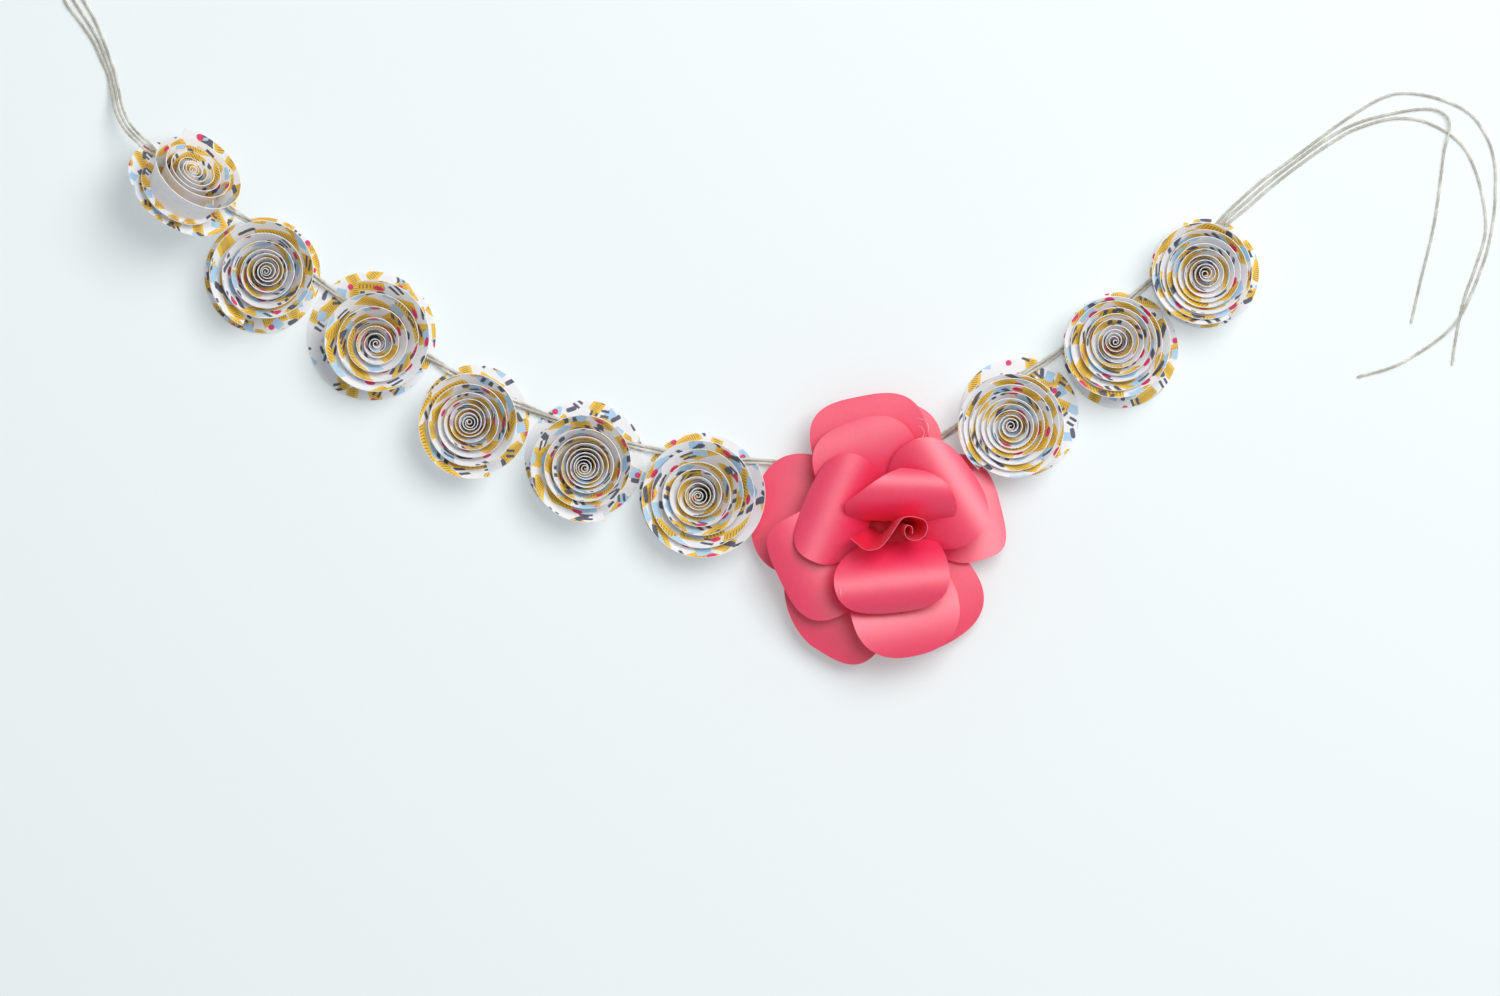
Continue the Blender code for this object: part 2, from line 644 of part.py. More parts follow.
def main():
    """Builds the garland."""
    clear_scene()
    garland = make_collection("paper_flower_garland")
    cutters = make_collection("cutters")
    print_paper = make_material("printed_paper", (0.90, 0.82, 0.66), 0.75)
    card = make_material("rose_card", (0.80, 0.05, 0.11), 0.55)
    twine = make_material("twine", (0.55, 0.48, 0.38), 0.95)
    glue = make_material("hot_glue", (0.90, 0.90, 0.86), 0.35)

    cord_points = smooth_route(CORD_ROUTE, CORD_POINTS)
    make_tube("twine_cord", cord_points, CORD_DIAMETER, twine, garland)
    before = 2 * cord_points[0] - cord_points[1]
    after = 2 * cord_points[-1] - cord_points[-2]
    tunnel_points = [before, *cord_points, after]
    tunnel = mesh_from_curve(
        make_tube("cord_tunnel", tunnel_points, CORD_DIAMETER + 2 * GAP, glue, cutters), cutters
    )
    hide_cutter(tunnel)

    for index, flower in enumerate(FLOWERS, start=1):
        make_coil(index, flower, print_paper, garland, cutters)
        make_backing_disc(index, flower, print_paper, garland)
        offset = (flower.glue[0] - flower.disc[0], flower.glue[1] - flower.disc[1], 0.0)
        pad = make_glue(
            f"flower_glue_{index}",
            GLUE_RADIUS,
            DISC_PAPER + GAP,
            flower_frame(index, flower),
            offset,
            glue,
            garland,
        )
        cut(pad, tunnel)

    make_rose(card, glue, garland, tunnel)

    for name, route in TAIL_ROUTES.items():
        count = max(TAIL_POINTS_LEAST, round(route_length([Vector(p) for p in route]) / TAIL_SPACING))
        points = smooth_route(route, count)
        make_tube(name, points, TWINE_DIAMETER, twine, garland)
    make_tail_coil(twine, garland)


main()
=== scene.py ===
"""A paper flower garland laid out flat: nine rolled paper flowers and a card rose on loosely laid twine.

Lengths are in metres and angles in degrees. +Z is up, and the garland lies on the plane z = 0.
Every sheet of paper and card is made as the flat, thin thing it is, then given its thickness and its cut
edges.
"""

import logging
import math
from dataclasses import dataclass, field
from enum import Enum, IntEnum
from typing import Mapping, Sequence

import bpy
import numpy as np
from mathutils import Matrix, Vector, noise
from mathutils.bvhtree import BVHTree


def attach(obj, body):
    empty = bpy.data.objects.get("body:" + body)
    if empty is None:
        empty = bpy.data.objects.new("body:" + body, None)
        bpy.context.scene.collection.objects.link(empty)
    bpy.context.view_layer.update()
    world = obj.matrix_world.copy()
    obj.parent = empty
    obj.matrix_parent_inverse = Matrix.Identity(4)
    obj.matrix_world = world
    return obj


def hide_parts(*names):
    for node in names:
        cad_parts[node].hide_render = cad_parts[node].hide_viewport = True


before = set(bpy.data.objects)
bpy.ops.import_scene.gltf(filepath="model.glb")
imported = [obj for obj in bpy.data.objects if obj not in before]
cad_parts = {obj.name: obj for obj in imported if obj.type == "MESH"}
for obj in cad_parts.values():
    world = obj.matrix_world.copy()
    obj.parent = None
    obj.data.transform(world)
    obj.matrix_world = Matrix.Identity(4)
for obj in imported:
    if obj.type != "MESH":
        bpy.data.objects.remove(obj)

LOG = logging.getLogger("garland")
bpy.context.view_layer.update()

Rgb = tuple[float, float, float]
Point = tuple[float, float, float]
Spot = tuple[float, float]

SHEET_UNIT = 0.1
SHEET_UV = "sheet"
SHARP_ANGLE = 38.0
PAPER_GRAIN = 0.00045
PAPER_GRAIN_DEPTH = 0.00002
PAPER = 0.0003
DISC_PAPER = 0.0004
CARD = 0.0004
GAP = 0.0003
CORD_DIAMETER = 0.0028
TWINE_DIAMETER = 0.0013
GLUE_ROOF = 0.0007
GLUE_TOP = DISC_PAPER + GAP + CORD_DIAMETER + GAP + GLUE_ROOF
CURVE_STEPS = 24


class Slot(Enum):
    """The record's material slots."""

    PRINT = "printed_paper"
    CARD = "rose_card"
    TWINE = "twine"
    GLUE = "hot_glue"


class Face(IntEnum):
    """The finishes of a cut sheet, in the order of its material slots."""

    FRONT = 0
    REVERSE = 1
    EDGE = 2


class Seed(float, Enum):
    """Which noise each unevenness of a rolled flower reads."""

    RIM = 0.37
    EDGE = 5.1
    ASIDE = 11.3
    ALONG = 27.9


class MotifForm(Enum):
    """How the shapes of the print are put together."""

    SINGLE = "single"
    PAIR = "pair"
    RULED = "ruled"


def srgb(red: float, green: float, blue: float) -> Rgb:
    """Turns a colour as seen on a screen into the linear values that a shader takes.

    Args:
        red: The red part, 0 to 255.
        green: The green part, 0 to 255.
        blue: The blue part, 0 to 255.

    Returns:
        The three linear parts, 0 to 1.
    """
    parts = []
    for value in (red, green, blue):
        share = value / 255
        parts.append(((share + 0.055) / 1.055) ** 2.4 if share > 0.04045 else share / 12.92)
    return (parts[0], parts[1], parts[2])


def wander(values: np.ndarray, seed: float) -> np.ndarray:
    """Smooth noise along a row of numbers, from about -1 to 1.

    Args:
        values: Where to read the noise, one step of it a unit.
        seed: Which noise to read.

    Returns:
        One number for each value.
    """
    read = [noise.noise(Vector((float(value), seed, 7.3 * seed))) for value in np.ravel(values)]
    return np.array(read).reshape(np.shape(values))


def ripple(swing: np.ndarray, rate: float, seed: float) -> np.ndarray:
    """Smooth noise round a circle, from about -1 to 1.

    Args:
        swing: The directions round it, one a row.
        rate: How fast the noise changes.
        seed: Which noise to read.

    Returns:
        One number for each direction.
    """
    return np.array([noise.noise(Vector((*(way * rate), seed))) for way in swing])


def distance_along(points: np.ndarray) -> np.ndarray:
    """How far along a line of points each of them lies.

    Args:
        points: The points of the line, one a row.

    Returns:
        The distance of each from the first, in metres.
    """
    return np.concatenate([[0.0], np.cumsum(np.linalg.norm(np.diff(points, axis=0), axis=1))])


def respace(fine: np.ndarray, count: int) -> np.ndarray:
    """Puts points at even distances on a line.

    Args:
        fine: The points of the line, one a row.
        count: How many points to return.

    Returns:
        The evenly spaced points.
    """
    along = distance_along(fine)
    wanted = np.linspace(0.0, along[-1], count)
    return np.stack([np.interp(wanted, along, fine[:, axis]) for axis in range(fine.shape[1])], axis=1)


def route_length(points: np.ndarray) -> float:
    """The length of a line of points, in metres."""
    return float(np.linalg.norm(np.diff(points, axis=0), axis=1).sum())


def smooth_route(knots: Sequence[Point], step: float) -> np.ndarray:
    """Draws a smooth curve through a route's own points.

    Args:
        knots: The points that the route goes through.
        step: The distance between the points to return.

    Returns:
        The points of the curve, one a row, at even distances.
    """
    held = [np.array(knot, dtype=float) for knot in knots]
    ends = [2 * held[0] - held[1], *held, 2 * held[-1] - held[-2]]
    fine = []
    shares = np.linspace(0.0, 1.0, CURVE_STEPS, endpoint=False)[:, None]
    for before, start, end, after in zip(ends, ends[1:], ends[2:], ends[3:]):
        fine.append(
            0.5
            * (
                2 * start
                + (end - before) * shares
                + (2 * before - 5 * start + 4 * end - after) * shares**2
                + (3 * start - before - 3 * end + after) * shares**3
            )
        )
    line = np.concatenate([*fine, held[-1][None, :]])
    return respace(line, max(2, round(route_length(line) / step) + 1))


class NodeBoard:
    """Adds and joins the nodes of one material."""

    def __init__(self, name: str) -> None:
        """Starts a material with a plain shader.

        Args:
            name: The name of the material.
        """
        self.material = bpy.data.materials.new(name)
        self.material.use_nodes = True
        self.tree = self.material.node_tree
        self.shader = self.tree.nodes["Principled BSDF"]

    def add(
        self, kind: str, options: Mapping[str, object] | None = None, sockets: Mapping | None = None
    ) -> bpy.types.Node:
        """Adds a node.

        Args:
            kind: Blender's name for the kind of node.
            options: The node's own settings.
            sockets: Its inputs by name or number, each a plain value or the output that feeds it.

        Returns:
            The node.
        """
        node = self.tree.nodes.new(kind)
        for key, value in (options or {}).items():
            setattr(node, key, value)
        for key, value in (sockets or {}).items():
            self.feed(node.inputs[key], value)
        return node

    def feed(self, socket: bpy.types.NodeSocket, value: object) -> None:
        """Gives an input its value.

        Args:
            socket: The input.
            value: A plain value, a colour of three parts, or the output that feeds the input.
        """
        if isinstance(value, bpy.types.NodeSocket):
            self.tree.links.new(value, socket)
        elif socket.type == "RGBA":
            socket.default_value = (*value, 1.0)
        else:
            socket.default_value = value

    def finish(self, **plain: object) -> None:
        """Sets the shader's own inputs, with _ for each space in a name."""
        for key, value in plain.items():
            self.feed(self.shader.inputs[key.replace("_", " ")], value)

    def maths(self, operation: str, *values: object) -> bpy.types.NodeSocket:
        """One sum of plain numbers.

        Args:
            operation: The sum, by Blender's name.
            values: The numbers or outputs that it takes.

        Returns:
            The result's output.
        """
        node = self.add("ShaderNodeMath", {"operation": operation}, dict(enumerate(values)))
        return node.outputs["Value"]

    def vectors(self, operation: str, *values: object, out: str = "Vector") -> bpy.types.NodeSocket:
        """One sum of vectors.

        Args:
            operation: The sum, by Blender's name.
            values: The vectors or outputs that it takes.
            out: Which output to return.

        Returns:
            The result's output.
        """
        node = self.add("ShaderNodeVectorMath", {"operation": operation}, dict(enumerate(values)))
        return node.outputs[out]

    def spun(self, where: bpy.types.NodeSocket, angle: object) -> bpy.types.NodeSocket:
        """Turns places round their Z axis.

        Args:
            where: The places.
            angle: The angle in radians, or the output that gives it.

        Returns:
            The turned places' output.
        """
        sockets = {"Vector": where, "Angle": angle}
        node = self.add("ShaderNodeVectorRotate", {"rotation_type": "Z_AXIS"}, sockets)
        return node.outputs[0]

    def mixed(self, share: object, under: object, over: object) -> bpy.types.NodeSocket:
        """Lays one colour over another.

        Args:
            share: How much of the upper colour shows, 0 to 1.
            under: The lower colour.
            over: The upper colour.

        Returns:
            The mixed colour's output.
        """
        node = self.add("ShaderNodeMix", {"data_type": "RGBA"}, {0: share, 6: under, 7: over})
        return node.outputs[2]

    def between(
        self, value: object, low: float, high: float, first: float = 0.0, last: float = 1.0
    ) -> bpy.types.NodeSocket:
        """Maps a number from one range to another and holds it there.

        Args:
            value: The number.
            low: The start of its range.
            high: The end of its range.
            first: What the start becomes.
            last: What the end becomes.

        Returns:
            The mapped number's output.
        """
        node = self.add("ShaderNodeMapRange", {}, {0: value, 1: low, 2: high, 3: first, 4: last})
        return node.outputs[0]

    def place(self) -> bpy.types.NodeSocket:
        """The place on the object, in metres."""
        return self.add("ShaderNodeTexCoord").outputs["Object"]

    def sheet(self) -> bpy.types.NodeSocket:
        """The place on the flat sheet that a piece was cut from."""
        return self.add("ShaderNodeUVMap", {"uv_map": SHEET_UV}).outputs["UV"]

    def cloud(
        self,
        where: bpy.types.NodeSocket,
        size: float,
        detail: float = 2.0,
        rough: float = 0.5,
        out: str = "Fac",
    ) -> bpy.types.NodeSocket:
        """Soft noise.

        Args:
            where: The places to read it at.
            size: The size of its patches, in the places' own unit.
            detail: How many finer layers it has.
            rough: How strong the finer layers are.
            out: The output to take: one number, or three unlike ones as a colour.

        Returns:
            The noise's output, 0 to 1.
        """
        sockets = {"Vector": where, "Scale": 1 / size, "Detail": detail, "Roughness": rough}
        return self.add("ShaderNodeTexNoise", {}, sockets).outputs[out]

    def relief(self, height: bpy.types.NodeSocket, depth: float, strength: float = 1.0) -> None:
        """Raises the surface by a pattern.

        Args:
            height: The pattern, 0 to 1.
            depth: Its full height in metres.
            strength: How much of it shows.
        """
        bump = self.add("ShaderNodeBump", {}, {"Height": height, "Distance": depth, "Strength": strength})
        self.tree.links.new(bump.outputs["Normal"], self.shader.inputs["Normal"])


@dataclass(frozen=True)
class Motif:
    """One kind of shape scattered over the printed sheet, with its sizes in metres on the flat sheet."""

    colour: Rgb
    spacing: float
    half_length: float
    half_width: float
    corner: float
    share: float
    scatter: float
    shift: Spot
    form: MotifForm = MotifForm.SINGLE
    feather: float = 0.00012
    rule_spacing: float = 0.0009
    rule_share: float = 0.38
    rule_reach: float = 0.5

    def mask(self, board: NodeBoard, sheet: bpy.types.NodeSocket) -> tuple[bpy.types.NodeSocket, ...]:
        """Draws the shapes.

        Args:
            board: The material's nodes.
            sheet: The places on the flat sheet.

        Returns:
            Where the shapes are, 0 to 1, and where their ruled lines are.
        """
        unit = SHEET_UNIT
        moved = board.vectors("ADD", sheet, (self.shift[0] / unit, self.shift[1] / unit, 0.0))
        cell = board.add(
            "ShaderNodeTexVoronoi",
            {"voronoi_dimensions": "2D", "feature": "F1"},
            {"Vector": moved, "Scale": unit / self.spacing, "Randomness": self.scatter},
        )
        luck = board.add("ShaderNodeSeparateColor", {}, {0: cell.outputs["Color"]})
        local = board.vectors("SUBTRACT", moved, cell.outputs["Position"])
        angle = board.maths("MULTIPLY", luck.outputs[0], 2 * math.pi)
        turned = board.spun(local, angle)
        folded = board.vectors("ABSOLUTE", turned)
        if self.form is MotifForm.PAIR:
            folded = board.vectors("SUBTRACT", folded, (0.0, 2 * self.half_width / unit, 0.0))
            folded = board.vectors("ABSOLUTE", folded)
        core = ((self.half_length - self.corner) / unit, (self.half_width - self.corner) / unit, 0.0)
        past = board.vectors("MAXIMUM", board.vectors("SUBTRACT", folded, core), (0.0, 0.0, 0.0))
        flat = board.vectors("MULTIPLY", past, (1.0, 1.0, 0.0))
        reach = board.vectors("LENGTH", flat, out="Value")
        feather = self.feather / unit
        edge = self.corner / unit
        inside = board.between(reach, edge - feather, edge + feather, 1.0, 0.0)
        chosen = board.maths("LESS_THAN", luck.outputs[1], self.share)
        shape = board.maths("MULTIPLY", inside, chosen)
        if self.form is not MotifForm.RULED:
            return (shape,)
        parts = board.add("ShaderNodeSeparateXYZ", {}, {0: turned})
        rule = board.maths("FRACT", board.maths("MULTIPLY", parts.outputs[0], unit / self.rule_spacing))
        line = board.maths("LESS_THAN", rule, self.rule_share)
        off = board.maths("ABSOLUTE", parts.outputs[1])
        middle = board.maths("LESS_THAN", off, self.rule_reach * self.half_width / unit)
        ruled = board.maths("MULTIPLY", board.maths("MULTIPLY", line, middle), shape)
        return shape, ruled


PRINT_MOTIFS = (
    Motif(
        colour=srgb(248, 200, 78), spacing=0.0112, half_length=0.0062, half_width=0.0027,
        corner=0.0004, share=0.84, scatter=0.30, shift=(0.0, 0.0), form=MotifForm.RULED,
    ),
    Motif(
        colour=srgb(182, 214, 242), spacing=0.0098, half_length=0.0023, half_width=0.0020,
        corner=0.0003, share=0.66, scatter=0.45, shift=(0.031, 0.017),
    ),
    Motif(
        colour=srgb(92, 96, 112), spacing=0.0096, half_length=0.0018, half_width=0.0006,
        corner=0.0002, share=0.72, scatter=0.60, shift=(0.053, 0.041), form=MotifForm.PAIR,
    ),
    Motif(
        colour=srgb(98, 101, 116), spacing=0.0128, half_length=0.0024, half_width=0.0010,
        corner=0.0008, share=0.72, scatter=0.60, shift=(0.011, 0.067),
    ),
    Motif(
        colour=srgb(226, 64, 116), spacing=0.0106, half_length=0.0013, half_width=0.0013,
        corner=0.0012, share=0.56, scatter=0.55, shift=(0.087, 0.029),
    ),
)


def finish_paper(board: NodeBoard, colour: bpy.types.NodeSocket, roughness: float, specular: float) -> None:
    """Finishes a side of the paper, which lets a little light through and has a fine grain.

    Args:
        board: The material's nodes.
        colour: Its colour.
        roughness: How matt it is.
        specular: How strongly it mirrors.
    """
    board.finish(
        Base_Color=colour,
        Roughness=roughness,
        Specular_IOR_Level=specular,
        Subsurface_Weight=0.75,
        Subsurface_Radius=(1.0, 1.0, 1.0),
        Subsurface_Scale=0.0007,
    )
    board.relief(board.cloud(board.place(), PAPER_GRAIN, 3.0), PAPER_GRAIN_DEPTH)


@dataclass(frozen=True)
class PrintedSide:
    """The printed side of the paper: white, with bars, squares, dashes and dots in matt ink."""

    name: str = "printed_paper_front"
    ground: Rgb = srgb(249, 249, 252)
    rule_colour: Rgb = srgb(150, 118, 58)
    rule_strength: float = 0.8
    wobble: float = 0.00012
    wobble_size: float = 0.0019
    fleck: Rgb = srgb(206, 204, 214)
    fleck_size: float = 0.0011
    fleck_strength: float = 0.07
    roughness: float = 0.62
    specular: float = 0.35

    def build(self) -> bpy.types.Material:
        """Makes the material.

        Returns:
            The material.
        """
        board = NodeBoard(self.name)
        reach = 4 * self.wobble / SHEET_UNIT
        uneven = board.cloud(board.place(), self.wobble_size, 2.0, out="Color")
        astray = board.vectors("SUBTRACT", uneven, (0.5, 0.5, 0.5))
        moved = board.vectors("MULTIPLY", astray, (reach, reach, 0.0))
        sheet = board.vectors("ADD", board.sheet(), moved)
        colour: object = self.ground
        for motif in PRINT_MOTIFS:
            masks = motif.mask(board, sheet)
            colour = board.mixed(masks[0], colour, motif.colour)
            if len(masks) > 1:
                rules = board.maths("MULTIPLY", masks[1], self.rule_strength)
                colour = board.mixed(rules, colour, self.rule_colour)
        fibres = board.cloud(board.place(), self.fleck_size, 3.0)
        flecks = board.between(fibres, 0.35, 0.7, 0.0, self.fleck_strength)
        finish_paper(board, board.mixed(flecks, colour, self.fleck), self.roughness, self.specular)
        return board.material


@dataclass(frozen=True)
class PlainSide:
    """The unprinted side of the paper, a cool white with a faint mottle of fibres."""

    name: str = "plain_paper"
    light: Rgb = srgb(249, 249, 254)
    shade: Rgb = srgb(240, 239, 249)
    mottle_size: float = 0.0042
    roughness: float = 0.7
    specular: float = 0.3

    def build(self) -> bpy.types.Material:
        """Makes the material.

        Returns:
            The material.
        """
        board = NodeBoard(self.name)
        mottle = board.between(board.cloud(board.place(), self.mottle_size, 4.0), 0.35, 0.7)
        finish_paper(board, board.mixed(mottle, self.light, self.shade), self.roughness, self.specular)
        return board.material


@dataclass(frozen=True)
class CutEdge:
    """A freshly cut edge of sheet, paler than its faces, with a trace of ink along it."""

    name: str
    pale: Rgb
    trace: Rgb
    trace_size: float = 0.0031
    trace_strength: float = 0.75
    roughness: float = 0.8

    def build(self) -> bpy.types.Material:
        """Makes the material.

        Returns:
            The material.
        """
        board = NodeBoard(self.name)
        patches = board.cloud(board.place(), self.trace_size, 2.0)
        worn = board.between(patches, 0.52, 0.72, 0.0, self.trace_strength)
        board.finish(
            Base_Color=board.mixed(worn, self.pale, self.trace),
            Roughness=self.roughness,
            Specular_IOR_Level=0.25,
        )
        return board.material


@dataclass(frozen=True)
class SatinCard:
    """Raspberry card with a soft satin face and a fine grain that runs along the sheet."""

    name: str = "satin_card"
    colour: Rgb = srgb(249, 44, 98)
    deep: Rgb = srgb(244, 38, 88)
    roughness: float = 0.45
    coat: float = 0.9
    grain_stretch: Point = (0.12, 1.0, 1.0)
    grain_size: float = 0.0035
    grain_depth: float = 0.03
    patch_size: float = 0.0016
    tooth_size: float = 0.0004
    hollow_size: float = 0.017
    hollow_depth: float = 0.0006

    def build(self) -> bpy.types.Material:
        """Makes the material.

        Returns:
            The material.
        """
        board = NodeBoard(self.name)
        stretched = board.vectors("MULTIPLY", board.sheet(), self.grain_stretch)
        grain = board.cloud(stretched, self.grain_size, 3.0, 0.6)
        patch = board.between(board.cloud(board.place(), self.patch_size, 4.0), 0.3, 0.7)
        board.finish(
            Base_Color=board.mixed(patch, self.colour, self.deep),
            Roughness=board.between(grain, 0.25, 0.75, self.roughness - 0.05, self.roughness + 0.07),
            Specular_IOR_Level=0.45,
            Sheen_Weight=0.1,
            Sheen_Roughness=0.4,
            Sheen_Tint=srgb(255, 205, 218),
            Coat_Weight=self.coat,
            Coat_IOR=1.9,
            Coat_Roughness=0.46,
            Subsurface_Weight=0.35,
            Subsurface_Radius=(1.0, 0.12, 0.14),
            Subsurface_Scale=0.0012,
        )
        tooth = board.cloud(board.place(), self.tooth_size, 2.0)
        fine = board.maths("ADD", board.maths("MULTIPLY", grain, 0.6), tooth)
        hollows = board.cloud(board.place(), self.hollow_size, 1.0)
        height = board.maths("ADD", board.maths("MULTIPLY", fine, self.grain_depth), hollows)
        board.relief(height, self.hollow_depth)
        return board.material


@dataclass(frozen=True)
class TwineYarn:
    """Natural grey-beige twine: fibres laid round the strand, with paler patches at random; its colour is
    painted darker in the low places of the fibre relief, as painted shade in its grooves.
    """

    name: str = "natural_twine"
    pale: Rgb = srgb(234, 232, 222)
    middle: Rgb = srgb(208, 205, 193)
    painted_groove_shade: Rgb = srgb(164, 160, 147)
    slant: float = 0.5
    drawn_out: Point = (14.0, 9.0, 1.0)
    fibre_size: float = 0.55
    fibre_depth: float = 0.00016
    patch_size: float = 0.009
    roughness: float = 0.9

    def build(self) -> bpy.types.Material:
        """Makes the material.

        Returns:
            The material.
        """
        board = NodeBoard(self.name)
        slanted = board.spun(board.sheet(), self.slant)
        drawn = board.vectors("MULTIPLY", slanted, self.drawn_out)
        fibres = board.cloud(drawn, self.fibre_size, 4.0, 0.65)
        patch = board.cloud(board.place(), self.patch_size, 3.0)
        # Painted shade: where the fibre relief is low, the colour goes to the darker groove shade.
        colour = board.mixed(board.between(fibres, 0.34, 0.66), self.painted_groove_shade, self.middle)
        colour = board.mixed(board.between(patch, 0.42, 0.68), colour, self.pale)
        board.finish(
            Base_Color=colour,
            Roughness=self.roughness,
            Specular_IOR_Level=0.2,
            Sheen_Weight=0.2,
            Sheen_Roughness=0.6,
        )
        board.relief(fibres, self.fibre_depth)
        return board.material


@dataclass(frozen=True)
class MilkyGlue:
    """Set hot glue: milky, a little see-through, and smooth with a soft gloss."""

    name: str = "milky_glue"
    colour: Rgb = srgb(236, 234, 224)
    shade: Rgb = srgb(222, 218, 204)
    cloud_size: float = 0.003
    ripple_size: float = 0.002
    ripple_depth: float = 0.0001
    roughness: float = 0.28

    def build(self) -> bpy.types.Material:
        """Makes the material.

        Returns:
            The material.
        """
        board = NodeBoard(self.name)
        cloudy = board.between(board.cloud(board.place(), self.cloud_size, 2.0), 0.3, 0.7)
        board.finish(
            Base_Color=board.mixed(cloudy, self.colour, self.shade),
            Roughness=self.roughness,
            Subsurface_Weight=0.4,
            Subsurface_Scale=0.004,
            IOR=1.48,
        )
        board.relief(board.cloud(board.place(), self.ripple_size, 2.0), self.ripple_depth)
        return board.material


@dataclass
class Workshop:
    """The finishes, made once, and the way that a finished piece joins the garland."""

    front: bpy.types.Material = field(default_factory=lambda: PrintedSide().build())
    reverse: bpy.types.Material = field(default_factory=lambda: PlainSide().build())
    paper_edge: bpy.types.Material = field(
        default_factory=lambda: CutEdge("paper_edge", srgb(250, 248, 250), srgb(236, 206, 160)).build()
    )
    card: bpy.types.Material = field(default_factory=lambda: SatinCard().build())
    # Painted shade: a darker, deeper red copy of the satin card with little coat, for the shaded heart of the
    # rose.
    heart_card_painted_shade: bpy.types.Material = field(
        default_factory=lambda: SatinCard(
            "heart_card_painted_shade", srgb(246, 34, 76), srgb(240, 28, 66), coat=0.12
        ).build()
    )
    card_edge: bpy.types.Material = field(
        default_factory=lambda: CutEdge("card_edge", srgb(242, 104, 124), srgb(230, 62, 92)).build()
    )
    twine: bpy.types.Material = field(default_factory=lambda: TwineYarn().build())
    glue: bpy.types.Material = field(default_factory=lambda: MilkyGlue().build())

    def paper(self) -> list[bpy.types.Material]:
        """The finishes of a piece of printed paper."""
        return [self.front, self.reverse, self.paper_edge]

    def rose_card(self) -> list[bpy.types.Material]:
        """The finishes of a piece of rose card."""
        return [self.card, self.card, self.card_edge]

    def rose_heart_painted_shade(self) -> list[bpy.types.Material]:
        """The finishes of the card deep in the rose: a darker, deeper red copy of the card with little coat,
        whose colour is painted shade for the rose's heart.
        """
        return [self.heart_card_painted_shade, self.heart_card_painted_shade, self.card_edge]

    def hand_over(self, piece: bpy.types.Object, slot: Slot, *nodes: str) -> bpy.types.Object:
        """Makes a piece part of the garland.

        Args:
            piece: The finished piece.
            slot: The record's slot for its finish; not used.
            nodes: The solids that it stands for.

        Returns:
            The piece.
        """
        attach(piece, "root")
        if nodes:
            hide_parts(*nodes)
        LOG.info("%s: %d faces", piece.name, len(piece.data.polygons))
        return piece


def link_mesh(
    name: str, mesh: bpy.types.Mesh, finishes: Sequence[bpy.types.Material], place: Matrix | None = None
) -> bpy.types.Object:
    """Puts a mesh in the scene.

    Args:
        name: The piece's name.
        mesh: Its mesh.
        finishes: Its material slots, in order.
        place: Where it stands; its points are moved there.

    Returns:
        The new object.
    """
    for finish in finishes:
        mesh.materials.append(finish)
    if place is not None:
        mesh.transform(place)
    piece = bpy.data.objects.new(name, mesh)
    bpy.context.scene.collection.objects.link(piece)
    return piece


@dataclass
class CutSheet:
    """A thin piece of paper or card, given as a grid of points on its middle."""

    name: str
    places: np.ndarray
    flat: np.ndarray
    thickness: float
    edge_columns: tuple[int, ...] = ()
    closed: bool = False

    def faces(self) -> tuple[list[tuple[int, ...]], list[int]]:
        """The grid's faces.

        Returns:
            The corner numbers of each face and the finish of each.
        """
        rows, columns = self.places.shape[:2]
        last = columns if self.closed else columns - 1
        quads = []
        finishes = []
        for i in range(rows - 1):
            for j in range(last):
                k = (j + 1) % columns
                quads.append((i * columns + j, i * columns + k, (i + 1) * columns + k, (i + 1) * columns + j))
                finishes.append(Face.EDGE if j in self.edge_columns else Face.FRONT)
        return quads, finishes

    def build(self, finishes: Sequence[bpy.types.Material], place: Matrix | None = None) -> bpy.types.Object:
        """Makes the sheet with its thickness.

        Args:
            finishes: The finishes of its front, its reverse and its edge.
            place: Where it stands.

        Returns:
            The sheet's object.
        """
        quads, kinds = self.faces()
        mesh = bpy.data.meshes.new(self.name)
        mesh.from_pydata(self.places.reshape(-1, 3).tolist(), [], quads)
        mesh.polygons.foreach_set("material_index", kinds)
        layer = mesh.uv_layers.new(name=SHEET_UV)
        corners = np.array([corner for quad in quads for corner in quad])
        layer.data.foreach_set("uv", (self.flat.reshape(-1, 2)[corners] / SHEET_UNIT).ravel())
        piece = link_mesh(self.name, mesh, finishes)
        thick = piece.modifiers.new("thickness", "SOLIDIFY")
        thick.thickness = self.thickness
        thick.offset = 0.0
        thick.use_even_offset = True
        thick.material_offset = int(Face.REVERSE)
        thick.material_offset_rim = int(Face.EDGE)
        return settle(piece, place)


def settle(piece: bpy.types.Object, place: Matrix | None = None) -> bpy.types.Object:
    """Applies a piece's modifiers, smooths it between its sharp edges and moves its points into place.

    Args:
        piece: The piece.
        place: Where it stands.

    Returns:
        The same piece with its final mesh.
    """
    graph = bpy.context.evaluated_depsgraph_get()
    made = bpy.data.meshes.new_from_object(piece.evaluated_get(graph))
    piece.modifiers.clear()
    old = piece.data
    piece.data = made
    bpy.data.meshes.remove(old)
    made.name = piece.name
    if place is not None:
        made.transform(place)
    made.shade_smooth()
    made.set_sharp_from_angle(angle=math.radians(SHARP_ANGLE))
    return piece


